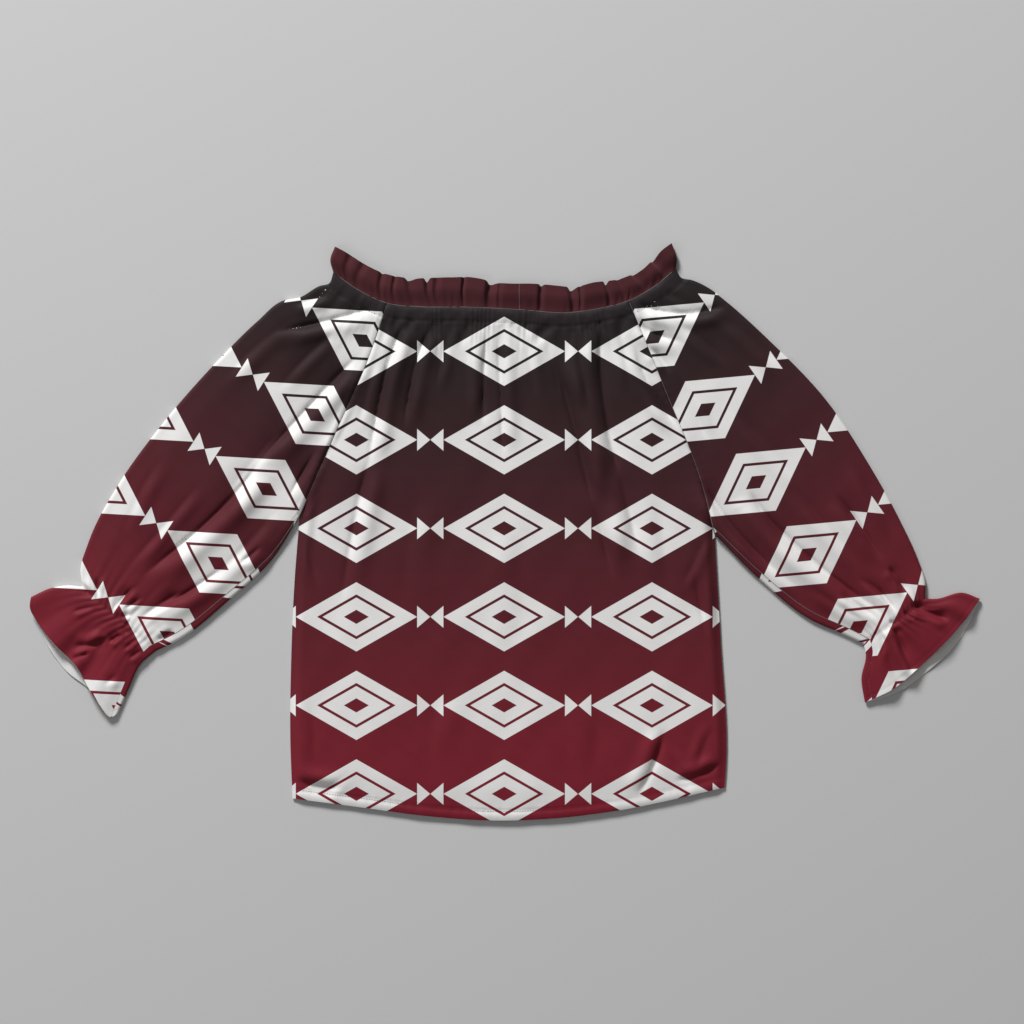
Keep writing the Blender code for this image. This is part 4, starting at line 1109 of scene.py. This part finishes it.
def sleeve_heights(phase):
    """Height functions of a sleeve's two layers."""
    def top_at(u, v, plan, length):
        away = u - WRIST_SHARE
        at_wrist = np.exp(-(away / (0.055 if away < 0 else 0.10))**2)
        flounce = smooth(away / (1 - WRIST_SHARE))
        arch = np.clip(np.sin(np.pi * v), 0.0, 1.0)**0.5
        height = creased_height(plan)
        height = height + PUFF_RISE * math.sin(math.pi * min(u / WRIST_SHARE, 1.0)) * arch**2
        height = height + WRIST_RISE * at_wrist * arch
        for row in WRIST_GATHERS:
            gather = dict(zip(WRIST_COLUMNS, row))
            reach = gather["up"] if away < 0 else gather["down"]
            place = gather["v"] + 0.012 * math.sin(9.0 * gather["v"] + phase)
            spreading = 1.0 + 5.0 * abs(away)
            width = WRIST_GATHER_WIDTH * spreading
            depth = 0.28 * gather["depth"] * math.exp(-(away / (1.5 * reach))**2)
            height = height - depth * np.exp(-((v - place) / width)**2) * arch
            side = place + 2.1 * width
            height = height + 0.45 * depth * np.exp(-((v - side) / (1.2 * width))**2) * arch
        pinch = math.exp(-(away / ELASTIC_HALF)**2)
        height = height - 1.1 * pinch * arch
        wave = gather_wave(v, FLOUNCE_WAVES, phase + 1.0)
        height = height + flounce * (FLOUNCE_RISE + FLOUNCE_WAVE * wave) * arch
        hem = (1.0 - u) / (1 - WRIST_SHARE) * FLOUNCE_LENGTH
        if away > 0:
            height = height - 0.3 * math.exp(-((hem - CUFF_HEM) / 1.2)**2)
        return np.clip(height, LEAST_HEIGHT, MOST_HEIGHT)

    def floor_at(u, v, plan, length):
        inside = smooth(np.minimum(v, 1 - v) * length / 24.0)
        curl = 1.2 * smooth((u - 0.93) / 0.07) * (0.5 + 0.5 * gather_wave(v, 3, phase))
        return inside * np.minimum(under_lift(plan) + curl, 1.6)

    return top_at, floor_at


def make_sleeve(name, outline, raglan, neck_from, neck_to, phase, grain, corner_place, materials):
    """grain is the angle by which the sleeve's print leans from the body's, in degrees."""
    plan_top, plan_under, corner = sleeve_plans(outline, raglan, neck_from, neck_to)
    top_at, floor_at = sleeve_heights(phase)
    down = np.array([math.sin(math.radians(grain)), -math.cos(math.radians(grain))])
    across = np.array([-down[1], down[0]])
    origin = scaled([corner_place])[0]

    def print_at(turned, plan, u):
        return np.stack([(turned - origin) @ across, (plan - origin) @ down], axis=-1)

    arm = WRIST_SHARE * np.linspace(0.0, 1.0, SLEEVE_ROWS + 1)
    beyond = WRIST_SHARE + (1 - WRIST_SHARE) * np.linspace(0.0, 1.0, FLOUNCE_ROWS + 1)
    shares = np.concatenate([arm, beyond[1:]])
    return tube_piece(name, shares, lambda length: SEAM_INSET / length, corner,
                      (SLEEVE_COLUMNS, SLEEVE_UNDER_COLUMNS), plan_top, plan_under,
                      top_at, floor_at, print_at, True, materials)


def ruffle_shape(edge, dense):
    """Depth of the ruffle's folds and dip of its free edge, as functions of u, v and length."""
    def places(line, column):
        wanted = np.array([row[column] for row in RUFFLE_FOLDS]) * (HALF_CHEST / CHART_CHEST)
        return np.interp(wanted, line(dense)[:, 0], dense)

    at_edge, at_seam = places(edge, 0), places(neck, 1)

    def shape(u, v, length):
        depth, dip = np.zeros(len(v)), np.zeros(len(v))
        for number, row in enumerate(RUFFLE_FOLDS):
            fold = dict(zip(FOLD_COLUMNS, row))
            place = at_seam[number] + (at_edge[number] - at_seam[number]) * u
            run = (v - place) * length
            width = max(fold["width"], FOLD_LEAST_WIDTH)
            right = width * (2.4 if fold["over"] else 1.0)
            valley = np.exp(-(run / np.where(run < 0, 0.8 * width, right))**2)
            depth = np.maximum(depth, fold["depth"] * valley)
            dip = np.maximum(dip, fold["notch"] * valley**1.5)
        return depth, dip

    return shape


def make_ruffle(materials):
    edge = curve(RUFFLE_EDGE)
    sheet = patch(neck, edge, curve(RUFFLE_LEFT_FOLD), curve(RUFFLE_RIGHT_FOLD))
    dense = np.linspace(0.0, 1.0, 801)
    join_x = RUFFLE_JOIN_X * HALF_CHEST / CHART_CHEST
    seam = float(np.interp(join_x, neck(dense)[:, 0], dense))
    shape = ruffle_shape(edge, dense)
    run = line_length(edge(dense))

    def plan_top(u, v):
        places = sheet(u, v)
        _depth, dip = shape(np.asarray(u, float), np.asarray(v, float), run)
        places[..., 1] -= dip * np.asarray(u, float)**2
        return places

    def plan_under(u, v):
        inside = smooth(np.minimum(v, 1 - v) * run / 26.0)
        return sheet(np.asarray(u, float) * (1.0 - BACK_SHORT * inside), v)

    def top_at(u, v, plan, length):
        base = creased_height(neck(v))
        middle = base + (RUFFLE_TOP - base) * smooth(u * 1.5)
        depth, _dip = shape(u, v, run)
        across = v * run
        gathers = np.cos(across / 1.55 + 1.7 * np.sin(across / 11.0)) * (0.5 + 0.5 * np.sin(across / 7.3))
        small = 0.34 * gathers * np.exp(-((u - 0.12) / 0.30)**2)
        tilt = (0.55 * np.sin(across / 16.0 + 0.9) + 0.25 * np.sin(across / 6.1)) * u
        height = middle + small + tilt - RUFFLE_DROP * (0.30 + 0.70 * u) * depth
        height = height - 0.30 * np.exp(-((u - 0.92) / 0.012)**2)
        return np.maximum(height, LEAST_HEIGHT + (RUFFLE_LEAST - LEAST_HEIGHT) * u)

    def floor_at(u, v, plan, length):
        inside = smooth(np.minimum(v, 1 - v) * length / 20.0)
        return BACK_WAVE * u * inside * (0.5 - 0.5 * np.cos(2 * np.pi * BACK_GATHERS * v))

    def print_at(turned, plan, u):
        return np.stack([plan[..., 0], np.full(len(plan), RUFFLE_HEIGHT * (1.0 - u))], axis=-1)

    shares = np.linspace(0.0, 1.0, RUFFLE_ROWS + 1)
    return tube_piece("ruffle_cloth", shares, lambda length: seam, seam,
                      (RUFFLE_COLUMNS, RUFFLE_UNDER_COLUMNS), plan_top, plan_under,
                      top_at, floor_at, print_at, False, materials)


# Floor, light and camera

FLOOR_SIDE = 12.0
FLOOR_GREY = (200, 200, 200)
FLOOR_DROP = 0.0002


def make_floor():
    half = 0.5 * FLOOR_SIDE
    corners = [(-half, -half, -FLOOR_DROP), (half, -half, -FLOOR_DROP),
               (half, half, -FLOOR_DROP), (-half, half, -FLOOR_DROP)]
    mesh = bpy.data.meshes.new("floor")
    mesh.from_pydata(corners, [], [(0, 1, 2, 3)])
    w = Wiring("pale floor")
    w.shader.inputs["Base Color"].default_value = linear(*FLOOR_GREY)
    w.shader.inputs["Roughness"].default_value = 0.9
    w.shader.inputs["Specular IOR Level"].default_value = 0.1
    mesh.materials.append(w.material)
    floor = link(bpy.data.objects.new("floor", mesh))


# Lamps: place, size, power, in metres and watts, aimed at the blouse
LAMP_COLUMNS = ("name", "x", "y", "z", "side", "watts")
LAMPS = [
    ("key", -2.6, 6.0, 3.5, 1.8, 690.0),
    ("fill", -2.8, -1.4, 2.8, 1.6, 11.0),
]
WORLD_LIGHT = 0.20


def make_lights():
    for row in LAMPS:
        lamp = dict(zip(LAMP_COLUMNS, row))
        data = bpy.data.lights.new(lamp["name"], "AREA")
        data.shape = "SQUARE"
        data.size = lamp["side"]
        data.energy = lamp["watts"]
        light = link(bpy.data.objects.new(lamp["name"], data))
        light.location = (lamp["x"], lamp["y"], lamp["z"])
        aim = -light.location
        light.rotation_euler = aim.to_track_quat("-Z", "Y").to_euler()
    world = bpy.data.worlds.new("studio")
    world.use_nodes = True
    background = world.node_tree.nodes["Background"]
    background.inputs["Color"].default_value = (1.0, 1.0, 1.0, 1.0)
    background.inputs["Strength"].default_value = WORLD_LIGHT
    bpy.context.scene.world = world
    bpy.context.scene.view_settings.view_transform = "Standard"


def make_camera():
    data = bpy.data.cameras.new("camera")
    data.sensor_width = SENSOR
    data.lens = SENSOR * CAMERA_HEIGHT / (PICTURE_SIDE * PIXEL * MM)
    data.clip_end = 50.0
    camera = link(bpy.data.objects.new("camera", data))
    camera.location = (PICTURE_MIDDLE[0] * MM, PICTURE_MIDDLE[1] * MM, CAMERA_HEIGHT)
    bpy.context.scene.camera = camera


# The blouse

SEAM_RIBBON = 0.9
GRAIN_LEFT = -33.0             # lean of the sleeves' print from the body's, in degrees
GRAIN_RIGHT = 35.0
UNDERARM_SHOWN = 0.78          # share of the sleeve's rows along which that seam shows
ROW_ENDS = (0.02, 0.98)        # where the stitch rows start and end along their seams
CORNER_LEFT = NECK[NECK_LEFT]
CORNER_RIGHT = NECK[NECK_RIGHT]


def cloth(piece, node):
    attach(piece, "root")
    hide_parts(node)


def trim(piece):
    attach(piece, "root")


def sewn_path(plan_line, sink):
    """A path on the upper layer's top along a plan line."""
    return placed(plan_line, creased_height(plan_line) - sink)


def main():
    make_camera()
    make_floor()
    make_lights()
    printed = printed_cloth()
    inside = plain_cloth("unprinted inside", INSIDE, 0.85, 0.05, 0.93)
    maroon = plain_cloth("plain maroon crepe", RUFFLE_DYE, 0.80, 0.12)
    seam_thread = thread("seam thread", THREAD_GREY)
    dark_thread = thread("dark thread", THREAD_DARK)

    front = make_front([printed, inside, inside])
    back = make_back([printed, inside, inside])
    left, left_grid = make_sleeve("sleeve_left_cloth", SLEEVE_LEFT, raglan_left, share_left, 0.0,
                                  0.4, GRAIN_LEFT, CORNER_LEFT, [printed, inside, inside])
    right, right_grid = make_sleeve("sleeve_right_cloth", SLEEVE_RIGHT, raglan_right,
                                    share_right, 1.0, 2.1, GRAIN_RIGHT, CORNER_RIGHT,
                                    [printed, inside, inside])
    ruffle, ruffle_grid = make_ruffle([maroon, maroon, maroon])

    cloth(front, "front_panel")
    cloth(back, "back_panel")
    cloth(left, "sleeve_left")
    cloth(right, "sleeve_right")
    cloth(ruffle, "neck_ruffle")

    for name, raglan in (("left", raglan_left), ("right", raglan_right)):
        line = raglan(np.linspace(0.0, 1.0, 90))
        trim(ribbon(f"raglan_seam_{name}", sewn_path(line, 0.0), SEAM_RIBBON, 0.10, 0.5,
                    seam_thread))
    line = neck(np.linspace(0.015, 0.985, 180))
    trim(ribbon("neck_seam", sewn_path(line, 0.0), SEAM_RIBBON, 0.12, 0.5, seam_thread))
    join = 0.5 * (ruffle_grid[:, 0] + ruffle_grid[:, -1])
    trim(ribbon("ruffle_join_seam", join, 0.8, 0.12, 0.5, seam_thread))
    for name, grid in (("left", left_grid), ("right", right_grid)):
        last = int(len(grid) * UNDERARM_SHOWN)
        path = 0.5 * (grid[2:last, 0] + grid[2:last, -1])
        trim(ribbon(f"underarm_seam_{name}", path, SEAM_RIBBON, 0.08, 0.5, seam_thread))

    steps = np.linspace(*ROW_ENDS, 150)
    line = shifted_row(neck(steps), CASING, 1)
    trim(stitches("casing_stitches", sewn_path(line, -0.05), dark_thread))
    line = shifted_row(curve(HEM)(np.linspace(*ROW_ENDS, 150)), HEM_DEPTH, -1)
    path = placed(line, np.clip(creased_height(line) + hem_detail(line), LEAST_HEIGHT, MOST_HEIGHT)
                  + 0.05)
    trim(stitches("hem_stitches", path, dark_thread))


main()
